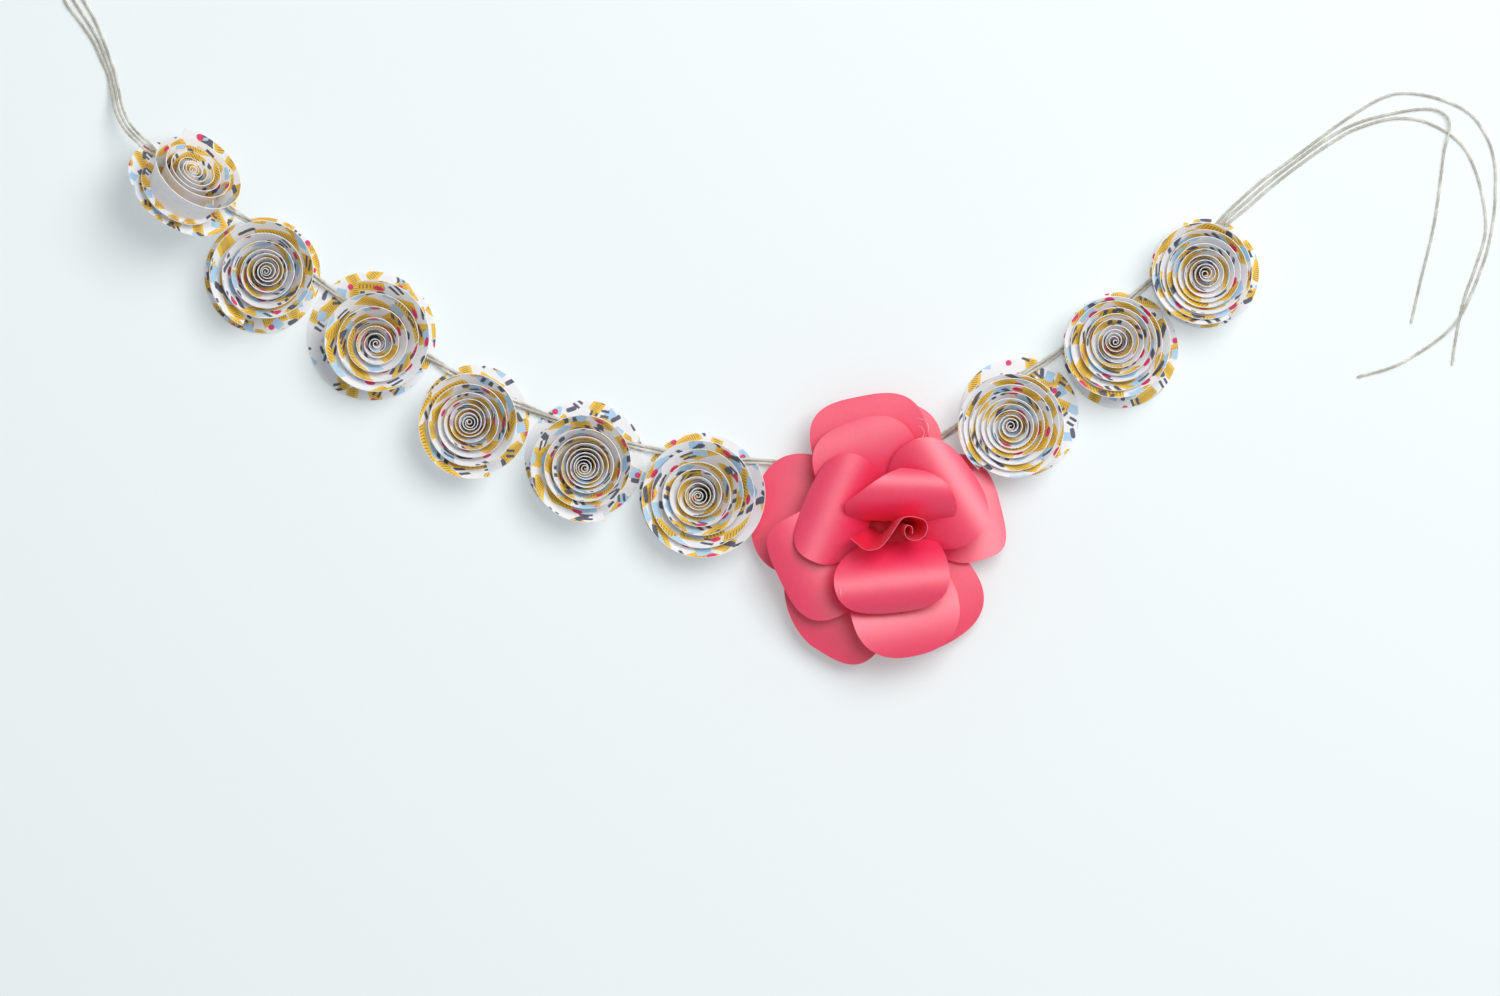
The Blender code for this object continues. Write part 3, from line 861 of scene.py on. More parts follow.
@dataclass
class RolledFlower:
    """One rolled flower: its backing disc, its glue, the strip wound into a coil, and the strip's tab."""

    number: int
    disc: Spot
    disc_radius: float
    coil: Spot
    rim_radius: float
    turns: float
    flare: float
    ease: float
    start: float
    drift: float
    drift_heading: float
    glue: Spot
    # The strip: its width at the tab and at the centre, its paper, and how its turns spread.
    strip_width: float = 0.0165
    strip_width_inner: float = 0.0135
    strip_paper: float = 0.00028
    strip_stand: float = 0.0002
    start_radius: float = 0.0006
    pitch: float = 0.0014
    tight_core: float = 0.6
    low_start: float = 0.8
    low_pitch: float = 0.0008
    base_share: float = 0.62
    # What makes the turns uneven, and how many turns stay calm at either end.
    calm_in: float = 1.2
    calm_out: float = 0.8
    waver: float = 0.3
    waver_rate: float = 1.9
    edge_waver: float = 0.0005
    edge_rate: float = 2.3
    edge_drop: float = 0.0003
    sway: float = 0.0010
    sway_rate: float = 0.37
    foot_sway: float = 0.3
    widest_gap: float = 0.006
    hollow: float = 0.045
    hollow_gap: float = 0.003
    # The grid of points, and the bare rim beside the upper edge.
    steps_per_turn: int = 60
    columns: int = 8
    bare_rim: float = 0.00012
    # The strip's round tab, the disc and the glue.
    tab_overlap: float = 0.0015
    tab_dip: float = 0.0005
    tab_dip_turns: float = 0.25
    card_sides: int = 112
    card_ragged: float = 0.012
    disc_lift: float = 0.0009
    glue_radius: float = 0.009
    # Where the paper was cut from the sheet.
    sheet_turn: float = 1.3
    sheet_shift: Spot = (0.31, 0.17)
    tab_shift: Spot = (0.23, 0.41)
    tab_turn: Spot = (0.9, 2.2)
    # How far the flower is tipped up, and towards which side.
    tip_angle: float = 0.0
    tip_heading: float = 52.6

    def frame(self) -> Matrix:
        """The placing of the disc's plane.

        Returns:
            Flat on the ground, or tipped up on the disc's edge.
        """
        if not self.tip_angle:
            return Matrix.Translation((*self.disc, 0.0))
        heading = math.radians(self.tip_heading)
        axis = Vector((-math.sin(heading), math.cos(heading), 0.0))
        lift = self.disc_radius * math.sin(math.radians(self.tip_angle))
        tip = Matrix.Rotation(math.radians(self.tip_angle), 4, axis)
        return Matrix.Translation((*self.disc, lift)) @ tip

    def shift(self, spot: Spot) -> Matrix:
        """The way from the disc's centre to another spot on its plane."""
        return Matrix.Translation((spot[0] - self.disc[0], spot[1] - self.disc[1], 0.0))

    def coil_frame(self) -> Matrix:
        """The placing of the coil's own centre on the disc's plane."""
        return self.frame() @ self.shift(self.coil)

    def rim(self, turn: np.ndarray) -> np.ndarray:
        """The radius of the strip's upper edge.

        Args:
            turn: The turns from the coil's centre.

        Returns:
            One radius for each.
        """
        share = turn / self.turns
        even = self.start_radius + self.pitch * (turn - self.tight_core * (1 - np.exp(-turn)))
        wide = self.rim_radius - self.start_radius - self.pitch * (self.turns - self.tight_core)
        return even + wide * share**self.flare * (1 + self.ease * (1 - share))

    def spacing(self, turn: np.ndarray) -> np.ndarray:
        """The distance from one turn's upper edge to the next.

        Args:
            turn: The turns from the coil's centre.

        Returns:
            One distance for each.
        """
        return np.clip(self.rim(turn) - self.rim(np.maximum(turn - 1, 0.0)), 0, self.widest_gap)

    def calm(self, turn: np.ndarray) -> np.ndarray:
        """How much of the unevenness each turn has: none at the two ends of the strip."""
        return np.clip(turn / self.calm_in, 0, 1) * np.clip((self.turns - turn) / self.calm_out, 0, 1)

    def upper_radius(self, turn: np.ndarray) -> np.ndarray:
        """The radius of the strip's upper edge with its unevenness.

        Args:
            turn: The turns from the coil's centre.

        Returns:
            One radius for each.
        """
        room = np.clip(self.spacing(turn) - PAPER, 0, None)
        waver = wander(turn * self.waver_rate, self.number + Seed.RIM)
        return self.rim(turn) + waver * room * self.waver * self.calm(turn)

    def lower_radius(self, turn: np.ndarray) -> np.ndarray:
        """The radius of the strip's lower edge.

        Args:
            turn: The turns from the coil's centre.

        Returns:
            One radius for each.
        """
        low = self.start_radius * self.low_start + self.low_pitch * turn
        low_end = self.base_share * self.rim_radius
        return low + (low_end - low[-1]) * (turn / self.turns) ** 3

    def swaying(self, turn: np.ndarray) -> np.ndarray:
        """How far the turns lean off the coil's axis.

        Args:
            turn: The turns from the coil's centre.

        Returns:
            One shift for each.
        """
        aside = wander(turn * self.sway_rate, self.number + Seed.ASIDE)
        along = wander(turn * self.sway_rate, self.number + Seed.ALONG)
        return self.sway * self.calm(turn)[:, None] * np.stack([aside, along, 0 * turn], axis=1)

    def edges(self, turn: np.ndarray) -> tuple[np.ndarray, np.ndarray]:
        """The strip's two long edges.

        Args:
            turn: The turns from the coil's centre.

        Returns:
            The points of the lower edge and of the upper edge.
        """
        share = turn / self.turns
        angle = math.radians(self.start) + 2 * math.pi * turn
        around = np.stack([np.cos(angle), np.sin(angle), np.zeros_like(angle)], axis=1)
        up = np.array([0.0, 0.0, 1.0])
        low, top = self.lower_radius(turn), self.upper_radius(turn)
        foot = GLUE_TOP + GAP + 2 * PAPER + self.strip_stand
        dip = self.tab_dip * np.clip((turn - self.turns) / self.tab_dip_turns + 1, 0, None)
        width = self.strip_width_inner + (self.strip_width - self.strip_width_inner) * share
        height = np.sqrt(width**2 - (top - low) ** 2)
        height = height + self.edge_waver * wander(turn * self.edge_rate, self.number + Seed.EDGE)
        height = height - self.edge_drop
        heading = math.radians(self.drift_heading)
        slide = self.drift * (1 - share**self.flare)
        drift = np.stack([slide * math.cos(heading), slide * math.sin(heading), np.zeros_like(slide)], axis=1)
        sway = self.swaying(turn)
        lower = around * low[:, None] + up * (foot - dip)[:, None] + self.foot_sway * sway
        upper = around * top[:, None] + drift + up * (foot + height)[:, None] + sway
        return lower, upper

    def winding(self) -> tuple[np.ndarray, np.ndarray]:
        """The strip as it is wound.

        Returns:
            The points of its middle surface, turn by turn and from its lower to its upper edge, and where
            each lies on the flat sheet.
        """
        turn = np.linspace(0.0, self.turns, round(self.turns * self.steps_per_turn) + 1)
        angle = math.radians(self.start) + 2 * math.pi * turn
        around = np.stack([np.cos(angle), np.sin(angle), np.zeros_like(angle)], axis=1)
        lower, upper = self.edges(turn)
        across = np.append(np.linspace(0.0, 1 - self.bare_rim / self.strip_width, self.columns), 1.0)
        hollow = np.sin(np.pi * across) * self.hollow
        open_share = np.clip(self.spacing(turn), 0, self.hollow_gap)[:, None] / self.hollow_gap
        bow = open_share * self.strip_width * hollow[None, :]
        places = lower[:, None, :] + (upper - lower)[:, None, :] * across[None, :, None]
        places = places - around[:, None, :] * bow[:, :, None]
        return places, self.lay_flat(lower, across)

    def tab_radius(self) -> float:
        """The radius of the round tab at the strip's end."""
        return self.base_share * self.rim_radius + self.tab_overlap

    def lay_flat(self, lower: np.ndarray, across: np.ndarray) -> np.ndarray:
        """Where the strip's points lie on the flat sheet, which was cut into a spiral round the tab.

        Args:
            lower: The strip's lower edge.
            across: The shares of its width.

        Returns:
            The flat places, as a grid.
        """
        along = distance_along(lower)
        tab = self.tab_radius()
        width = self.strip_width
        outer = math.sqrt(width * along[-1] / math.pi + tab**2)
        inner = np.sqrt(np.maximum(outer**2 - width * along / math.pi, tab**2))
        turned = 2 * math.pi / width * (outer - inner)
        radius = outer - width * turned / (2 * math.pi)
        radii = radius[:, None] - width * (1 - across[None, :])
        angles = (turned + self.sheet_turn * self.number)[:, None]
        centre = (self.sheet_shift[0] * self.number, self.sheet_shift[1] * self.number)
        return np.stack([radii * np.cos(angles) + centre[0], radii * np.sin(angles) + centre[1]], axis=2)

    def round_card(self, name: str, radius: float, height: float, thickness: float, lift: float) -> CutSheet:
        """A round of paper, cut by hand and a little wavy at its edge.

        Args:
            name: The piece's name.
            radius: Its radius.
            height: The height of its middle surface.
            thickness: Its thickness.
            lift: How far its edge may rise in its waves.

        Returns:
            The sheet.
        """
        angle = np.linspace(2 * math.pi, 0.0, self.card_sides, endpoint=False)
        shares = np.array([0.001, 0.15, 0.3, 0.45, 0.6, 0.72, 0.82, 0.9, 0.96, 0.99, 1.0])
        swing = np.stack([np.cos(angle), np.sin(angle)], axis=1)
        seed = self.number + 10 * radius
        reach = radius * (1 + self.card_ragged * (ripple(swing, 2.1, seed) - 0.5))
        plan = swing[None, :, :] * (reach[None, :] * shares[:, None])[:, :, None]
        rise = 0.5 * (1 + ripple(swing, 1.2, seed + 3) * 1.6)
        z = height + lift * np.clip(rise, 0, 1)[None, :] * shares[:, None] ** 3
        places = np.concatenate([plan, z[:, :, None]], axis=2)
        spin = Matrix.Rotation(self.tab_turn[0] * self.number + self.tab_turn[1], 2)
        moved = np.array([self.tab_shift[0] * self.number, self.tab_shift[1] * self.number + radius])
        flat = plan @ np.array(spin) + moved
        return CutSheet(name, places, flat, thickness, closed=True)

    def build(self, shop: Workshop) -> None:
        """Makes the flower's pieces.

        Args:
            shop: The finishes.
        """
        node = f"rolled_flower_{self.number}"
        places, flat = self.winding()
        strip = CutSheet(node + "_strip", places, flat, self.strip_paper, edge_columns=(self.columns - 1,))
        shop.hand_over(strip.build(shop.paper(), self.coil_frame()), Slot.PRINT, node)
        tab_height = GLUE_TOP + GAP + PAPER
        tab = self.round_card(node + "_tab", self.tab_radius(), tab_height, 2 * PAPER, 0.0)
        shop.hand_over(tab.build(shop.paper(), self.coil_frame()), Slot.PRINT, node)
        disc_node = f"backing_disc_{self.number}"
        disc = self.round_card(
            disc_node + "_card", self.disc_radius, DISC_PAPER / 2, DISC_PAPER, self.disc_lift
        )
        shop.hand_over(disc.build(shop.paper(), self.frame()), Slot.PRINT, disc_node)
        glue_node = f"flower_glue_{self.number}"
        pad = GluePad(glue_node + "_pad", self.glue_radius, DISC_PAPER + GAP, GLUE_TOP, self.number)
        shop.hand_over(pad.build(shop, self.frame() @ self.shift(self.glue)), Slot.GLUE, glue_node)


@dataclass
class GluePad:
    """A pressed blob of hot glue round the twine."""

    name: str
    radius: float
    bottom: float
    top: float
    seed: float
    rings: int = 12
    segments: int = 48
    fullness: float = 0.94
    lobe_share: float = 0.06
    side_power: float = 0.45
    top_power: float = 0.7

    def build(self, shop: Workshop, place: Matrix) -> bpy.types.Object:
        """Makes the blob.

        Args:
            shop: The finishes.
            place: Where it stands.

        Returns:
            The blob's object.
        """
        count = self.segments
        angles = [2 * math.pi * j / count for j in range(count)]
        middle = (self.bottom + self.top) / 2
        half = (self.top - self.bottom) / 2
        verts: list[Point] = []
        for i in range(self.rings + 1):
            slope = math.pi * i / self.rings
            tall = math.copysign(abs(math.cos(slope)) ** self.top_power, math.cos(slope))
            for angle in angles:
                lobe = noise.noise(Vector((math.cos(angle) * 1.5, math.sin(angle) * 1.5, self.seed * 3.1)))
                full = self.radius * (self.fullness + self.lobe_share * lobe)
                reach = full * math.sin(slope) ** self.side_power
                verts.append((reach * math.cos(angle), reach * math.sin(angle), middle + half * tall))
        faces = []
        for i in range(self.rings):
            for j in range(count):
                k = (j + 1) % count
                faces.append((i * count + j, (i + 1) * count + j, (i + 1) * count + k, i * count + k))
        mesh = bpy.data.meshes.new(self.name)
        mesh.from_pydata(verts, [], faces)
        mesh.validate()
        mesh.shade_smooth()
        return link_mesh(self.name, mesh, [shop.glue], place)


@dataclass
class Petal:
    """One card petal: its heading round the rose, where its root stands, its cut size and how it bends.

    It leaves its root at the angle rise and bends to the angle tip. Roll tips it to one side, and turn swings
    it round its root. The shares of its root, its corners and its width are given for its left and right
    halves.
    """

    node: str
    heading: float
    root_radius: float
    stand: float
    length: float
    width: float
    rise: float
    tip: float
    roll: float
    turn: float
    bend: float = 1.5
    left_root: float = 0.36
    right_root: float = 0.36
    left_round: float = 2.4
    right_round: float = 2.4
    left_wide: float = 1.0
    right_wide: float = 1.0
    tip_share: float = 0.05
    widest: float = 0.56
    rows: int = 44
    columns: int = 20
    crowding: float = 1.15
    bend_steps: int = 400

    def outline(self, share: np.ndarray, root: float, roundness: float) -> np.ndarray:
        """Half the petal's width along its length, as a share of its widest half.

        Args:
            share: The shares of its length.
            root: The half width at its root.
            roundness: How square the corner at its tip is, from 2 for an ellipse.

        Returns:
            The half widths.
        """
        grown = root + (1 - root) * np.sin(np.pi / 2 * np.minimum(share / self.widest, 1))
        past = np.clip((share - self.widest) / (1 - self.widest), 0, 1)
        rounded = (1 - past**roundness) ** (1 / roundness)
        return np.where(share < self.widest, grown, np.maximum(self.tip_share, rounded))

    def surface(self) -> tuple[np.ndarray, np.ndarray]:
        """The petal's middle surface, bent across its length like a cylinder.

        Returns:
            The grid of points before the petal is set on the rose, and where each lies on the flat card.
        """
        even = np.linspace(0.0, 1.0, self.rows)
        share = np.sin(np.pi / 2 * even) ** self.crowding
        fine = np.linspace(0.0, 1.0, self.bend_steps)
        angle = np.radians(self.rise + (self.tip - self.rise) * fine**self.bend)
        step = self.length / (len(fine) - 1)
        out = np.concatenate([[0.0], np.cumsum((np.cos(angle)[1:] + np.cos(angle)[:-1]) / 2 * step)])
        up = np.concatenate([[0.0], np.cumsum((np.sin(angle)[1:] + np.sin(angle)[:-1]) / 2 * step)])
        side = np.linspace(-1.0, 1.0, self.columns + 1)
        right = self.outline(share, self.right_root, self.right_round) * self.width / 2 * self.right_wide
        left = self.outline(share, self.left_root, self.left_round) * self.width / 2 * self.left_wide
        y = np.where(side[None, :] < 0, right[:, None], left[:, None]) * side[None, :]
        x = np.interp(share, fine, out)[:, None] + 0 * y
        z = np.interp(share, fine, up)[:, None] + 0 * y
        flat = np.stack([y + self.heading * 0.01, (share * self.length)[:, None] + 0 * y], axis=2)
        return np.stack([x, y, z], axis=2), flat

    def build(self, shop: Workshop, centre: Spot, base: float) -> bpy.types.Object:
        """Makes the petal and sets it on the rose.

        Args:
            shop: The finishes.
            centre: The rose's centre.
            base: The height of the card base's top.

        Returns:
            The petal's object.
        """
        places, flat = self.surface()
        place = (
            Matrix.Translation((*centre, base + self.stand))
            @ Matrix.Rotation(math.radians(self.heading), 4, "Z")
            @ Matrix.Translation((self.root_radius, 0, 0))
            @ Matrix.Rotation(math.radians(self.turn), 4, "Z")
            @ Matrix.Rotation(math.radians(self.roll), 4, "X")
        )
        leaf = CutSheet(self.node + "_card", places, flat, CARD)
        return shop.hand_over(leaf.build(shop.rose_card(), place), Slot.CARD, self.node)


@dataclass
class RoseBud:
    """The rolled card at the rose's heart, wide at its wavy top edge and drawn in at its foot."""

    edge: Sequence[Spot]
    stand: float = 0.0004
    height: float = 0.0354
    foot_share: float = 0.38
    centre: Spot = (0.0040, 0.0)
    foot_centre: Spot = (0.0012, 0.0030)
    pale_rim: float = 0.0001
    thickness: float = 0.0003
    step: float = 0.0006
    rows: int = 14
    waver: float = 0.0006
    flat_size: Spot = (0.09, 0.036)

    def build(self, shop: Workshop, centre: Spot, base: float) -> bpy.types.Object:
        """Makes the bud.

        Args:
            shop: The finishes.
            centre: The rose's centre.
            base: The height of the card base's top.

        Returns:
            The bud's object.
        """
        line = smooth_route([(x, y, 0.0) for x, y in self.edge], self.step)
        low = base + self.stand
        foot = (line - np.array([*self.centre, 0.0])) * self.foot_share + np.array([*self.foot_centre, 0.0])
        foot[:, 2] = low
        along = np.linspace(0.0, 1.0, len(line))
        top = line.copy()
        top[:, 2] = low + self.height + self.waver * wander(along * 5, 3.3)
        across = np.append(np.linspace(0.0, 1 - self.pale_rim / self.height, self.rows), 1.0)
        places = foot[:, None, :] + (top - foot)[:, None, :] * across[None, :, None]
        flat_x = np.repeat(along[:, None] * self.flat_size[0], len(across), 1)
        flat_y = np.repeat(across[None, :] * self.flat_size[1], len(line), 0)
        flat = np.stack([flat_x, flat_y], 2)
        sheet = CutSheet("rolled_bud_card", places[:, ::-1], flat[:, ::-1], self.thickness, edge_columns=(0,))
        place = Matrix.Translation((*centre, 0.0))
        # The bud takes the heart card, whose darker colour is painted shade.
        return shop.hand_over(sheet.build(shop.rose_heart_painted_shade(), place), Slot.CARD, "rolled_bud")


@dataclass
class GlueThread:
    """A fine thread of glue that was drawn out and dried on the card below it."""

    name: str
    plan: Sequence[Spot]
    thickness: float = 0.00022
    step: float = 0.0006
    look_from: float = 0.1
    sunk: float = 0.3

    def build(self, shop: Workshop, below: Sequence[bpy.types.Object]) -> None:
        """Lays the thread on the highest card under each of its points.

        Args:
            shop: The finishes.
            below: The pieces of card that it may lie on.
        """
        graph = bpy.context.evaluated_depsgraph_get()
        cards = [BVHTree.FromObject(piece, graph) for piece in below]
        line = smooth_route([(x, y, 0.0) for x, y in self.plan], self.step)
        for point in line:
            above = Vector((point[0], point[1], self.look_from))
            hits = [card.ray_cast(above, Vector((0.0, 0.0, -1.0)))[0] for card in cards]
            point[2] = max(hit.z for hit in hits if hit is not None) + self.sunk * self.thickness
        line[1:-1, 2] = (line[:-2, 2] + 2 * line[1:-1, 2] + line[2:, 2]) / 4
        curve = bpy.data.curves.new(self.name, "CURVE")
        curve.dimensions = "3D"
        curve.bevel_depth = self.thickness / 2
        curve.bevel_resolution = 2
        curve.use_fill_caps = True
        spline = curve.splines.new("POLY")
        spline.points.add(len(line) - 1)
        for place, point, share in zip(spline.points, line, np.linspace(0.0, 1.0, len(line))):
            place.co = (*point, 1.0)
            place.radius = 0.45 + 0.75 * math.sin(math.pi * share) ** 2
        drawn = bpy.data.objects.new(self.name + "_curve", curve)
        mesh = bpy.data.meshes.new_from_object(drawn)
        bpy.data.objects.remove(drawn)
        mesh.materials.clear()
        shop.hand_over(link_mesh(self.name, mesh, [shop.glue]), Slot.GLUE)


@dataclass
class CardRose:
    """The card rose: its glue, its round base, its petals, its bud and the threads of glue left on them."""

    centre: Spot = (0.0870, -0.0611)
    base_radius: float = 0.025
    glue_radius: float = 0.013
    glue_centre: Spot = (0.0861, -0.0465)
    glue_seed: float = 21.0
    base_sides: int = 72
    # The node, heading, root radius, stand, length, width, rise, tip, roll and turn of each, then what is its
    # own in outline.
    petals: Sequence[Petal] = field(
        default_factory=lambda: (
            Petal(
                "outer_petal_1", 101, 0.010, 0.0028, 0.053, 0.053, 24, -14, -4, 0,
                left_round=3.2, right_round=2.9,
            ),
            Petal("outer_petal_2", 170, 0.010, 0.0014, 0.052, 0.055, 10, -12, 0, 0),
            Petal(
                "outer_petal_3", 237, 0.010, 0.0026, 0.053, 0.052, 14, -14, 0, 0,
                left_round=3.4, right_round=1.65, right_wide=1.08,
            ),
            Petal(
                "outer_petal_4", 300, 0.010, 0.0010, 0.048, 0.048, 12, -14, 0, 0,
                left_root=0.7, left_wide=1.02,
            ),
            Petal(
                "outer_petal_5", 14, 0.010, 0.0026, 0.0425, 0.052, 16, -22, -3, 0,
                right_round=4.0, right_wide=0.9,
            ),
            Petal("outer_petal_6", 88, 0.010, 0.0010, 0.048, 0.046, 6, -8, 0, 0),
            Petal(
                "middle_petal_1", 163, 0.009, 0.0092, 0.037, 0.052, 57, -44, 0, -6,
                left_root=0.5, right_root=0.5, left_round=3.0, left_wide=0.97, right_wide=1.03,
            ),
            Petal(
                "middle_petal_2", 206, 0.008, 0.0044, 0.0485, 0.050, 34, -20, -6, 0,
                left_round=3.0, right_round=4.0, left_wide=0.96, right_wide=1.05,
            ),
            Petal("middle_petal_3", 276, 0.008, 0.0053, 0.053, 0.050, 34, -20, -6, 6, left_wide=0.96),
            Petal(
                "middle_petal_4", 33, 0.008, 0.0088, 0.0435, 0.053, 50, -36, 0, 0,
                left_root=0.55, right_root=0.5, left_wide=1.06, right_wide=0.93,
            ),
            Petal("middle_petal_5", 100, 0.008, 0.0040, 0.0468, 0.048, 36, -16, 0, 10, left_round=2.8),
            Petal(
                "inner_petal_1", 38, 0.0066, 0.0160, 0.032, 0.050, 72, -42, 0, 50,
                left_root=0.9, right_root=0.8, left_round=1.2, right_round=2.2, widest=0.4,
            ),
            Petal(
                "inner_petal_2", 268, 0.0060, 0.0138, 0.0390, 0.052, 62, -50, 0, 8,
                left_root=0.8, right_root=0.5,
            ),
        )
    )
    bud_edge: Sequence[Spot] = (
        (-0.0172, -0.0036), (-0.0140, -0.0063), (-0.0108, -0.0086), (-0.0076, -0.0089),
        (-0.0038, -0.0077), (-0.0008, -0.0046), (0.0014, -0.0015), (0.0033, 0.0014),
        (0.0052, 0.0042), (0.0072, 0.0058), (0.0105, 0.0061), (0.0138, 0.0054),
        (0.0162, 0.0043), (0.0173, 0.0020), (0.0170, -0.0006), (0.0157, -0.0029),
        (0.0128, -0.0044), (0.0096, -0.0043), (0.0077, -0.0026), (0.0071, -0.0002),
        (0.0079, 0.0018), (0.0097, 0.0020), (0.0108, 0.0004), (0.0105, -0.0016),
    )
    glue_threads: Sequence[Sequence[Spot]] = (
        ((0.0992, -0.0108), (0.1016, -0.0112), (0.1043, -0.0128), (0.1052, -0.0161), (0.1035, -0.0191)),
        ((0.1005, -0.0142), (0.1022, -0.0152), (0.1031, -0.0176), (0.1019, -0.0198), (0.0998, -0.0204)),
        ((0.0650, -0.0871), (0.0657, -0.0883), (0.0655, -0.0897), (0.0661, -0.0910)),
    )

    def build(self, shop: Workshop) -> None:
        """Makes the rose's pieces.

        Args:
            shop: The finishes.
        """
        base_top = GLUE_TOP + GAP + CARD
        pad = GluePad("rose_glue_pad", self.glue_radius, 0.0, GLUE_TOP, self.glue_seed)
        place = Matrix.Translation((*self.glue_centre, 0.0))
        shop.hand_over(pad.build(shop, place), Slot.GLUE, "rose_glue")
        self.build_base(shop, base_top)
        cards = [petal.build(shop, self.centre, base_top) for petal in self.petals]
        RoseBud(self.bud_edge).build(shop, self.centre, base_top)
        for number, plan in enumerate(self.glue_threads):
            GlueThread(f"glue_thread_{number + 1}", plan).build(shop, cards)

    def build_base(self, shop: Workshop, top: float) -> None:
        """Makes the round base that carries the petals.

        Args:
            shop: The finishes.
            top: The height of its top.
        """
        angle = np.linspace(0.0, 2 * math.pi, self.base_sides, endpoint=False)
        shares = np.array([0.001, 0.3, 0.6, 0.85, 0.97, 1.0])
        swing = np.stack([np.cos(angle), np.sin(angle)], axis=1)
        plan = swing[None, :, :] * (self.base_radius * shares)[:, None, None]
        places = np.concatenate([plan, np.full((*plan.shape[:2], 1), top - CARD / 2)], axis=2)
        sheet = CutSheet("rose_base_card", places, plan, CARD, closed=True)
        # The base takes the heart card, whose darker colour is painted shade.
        piece = sheet.build(shop.rose_heart_painted_shade(), Matrix.Translation((*self.centre, 0.0)))
        shop.hand_over(piece, Slot.CARD, "rose_base")


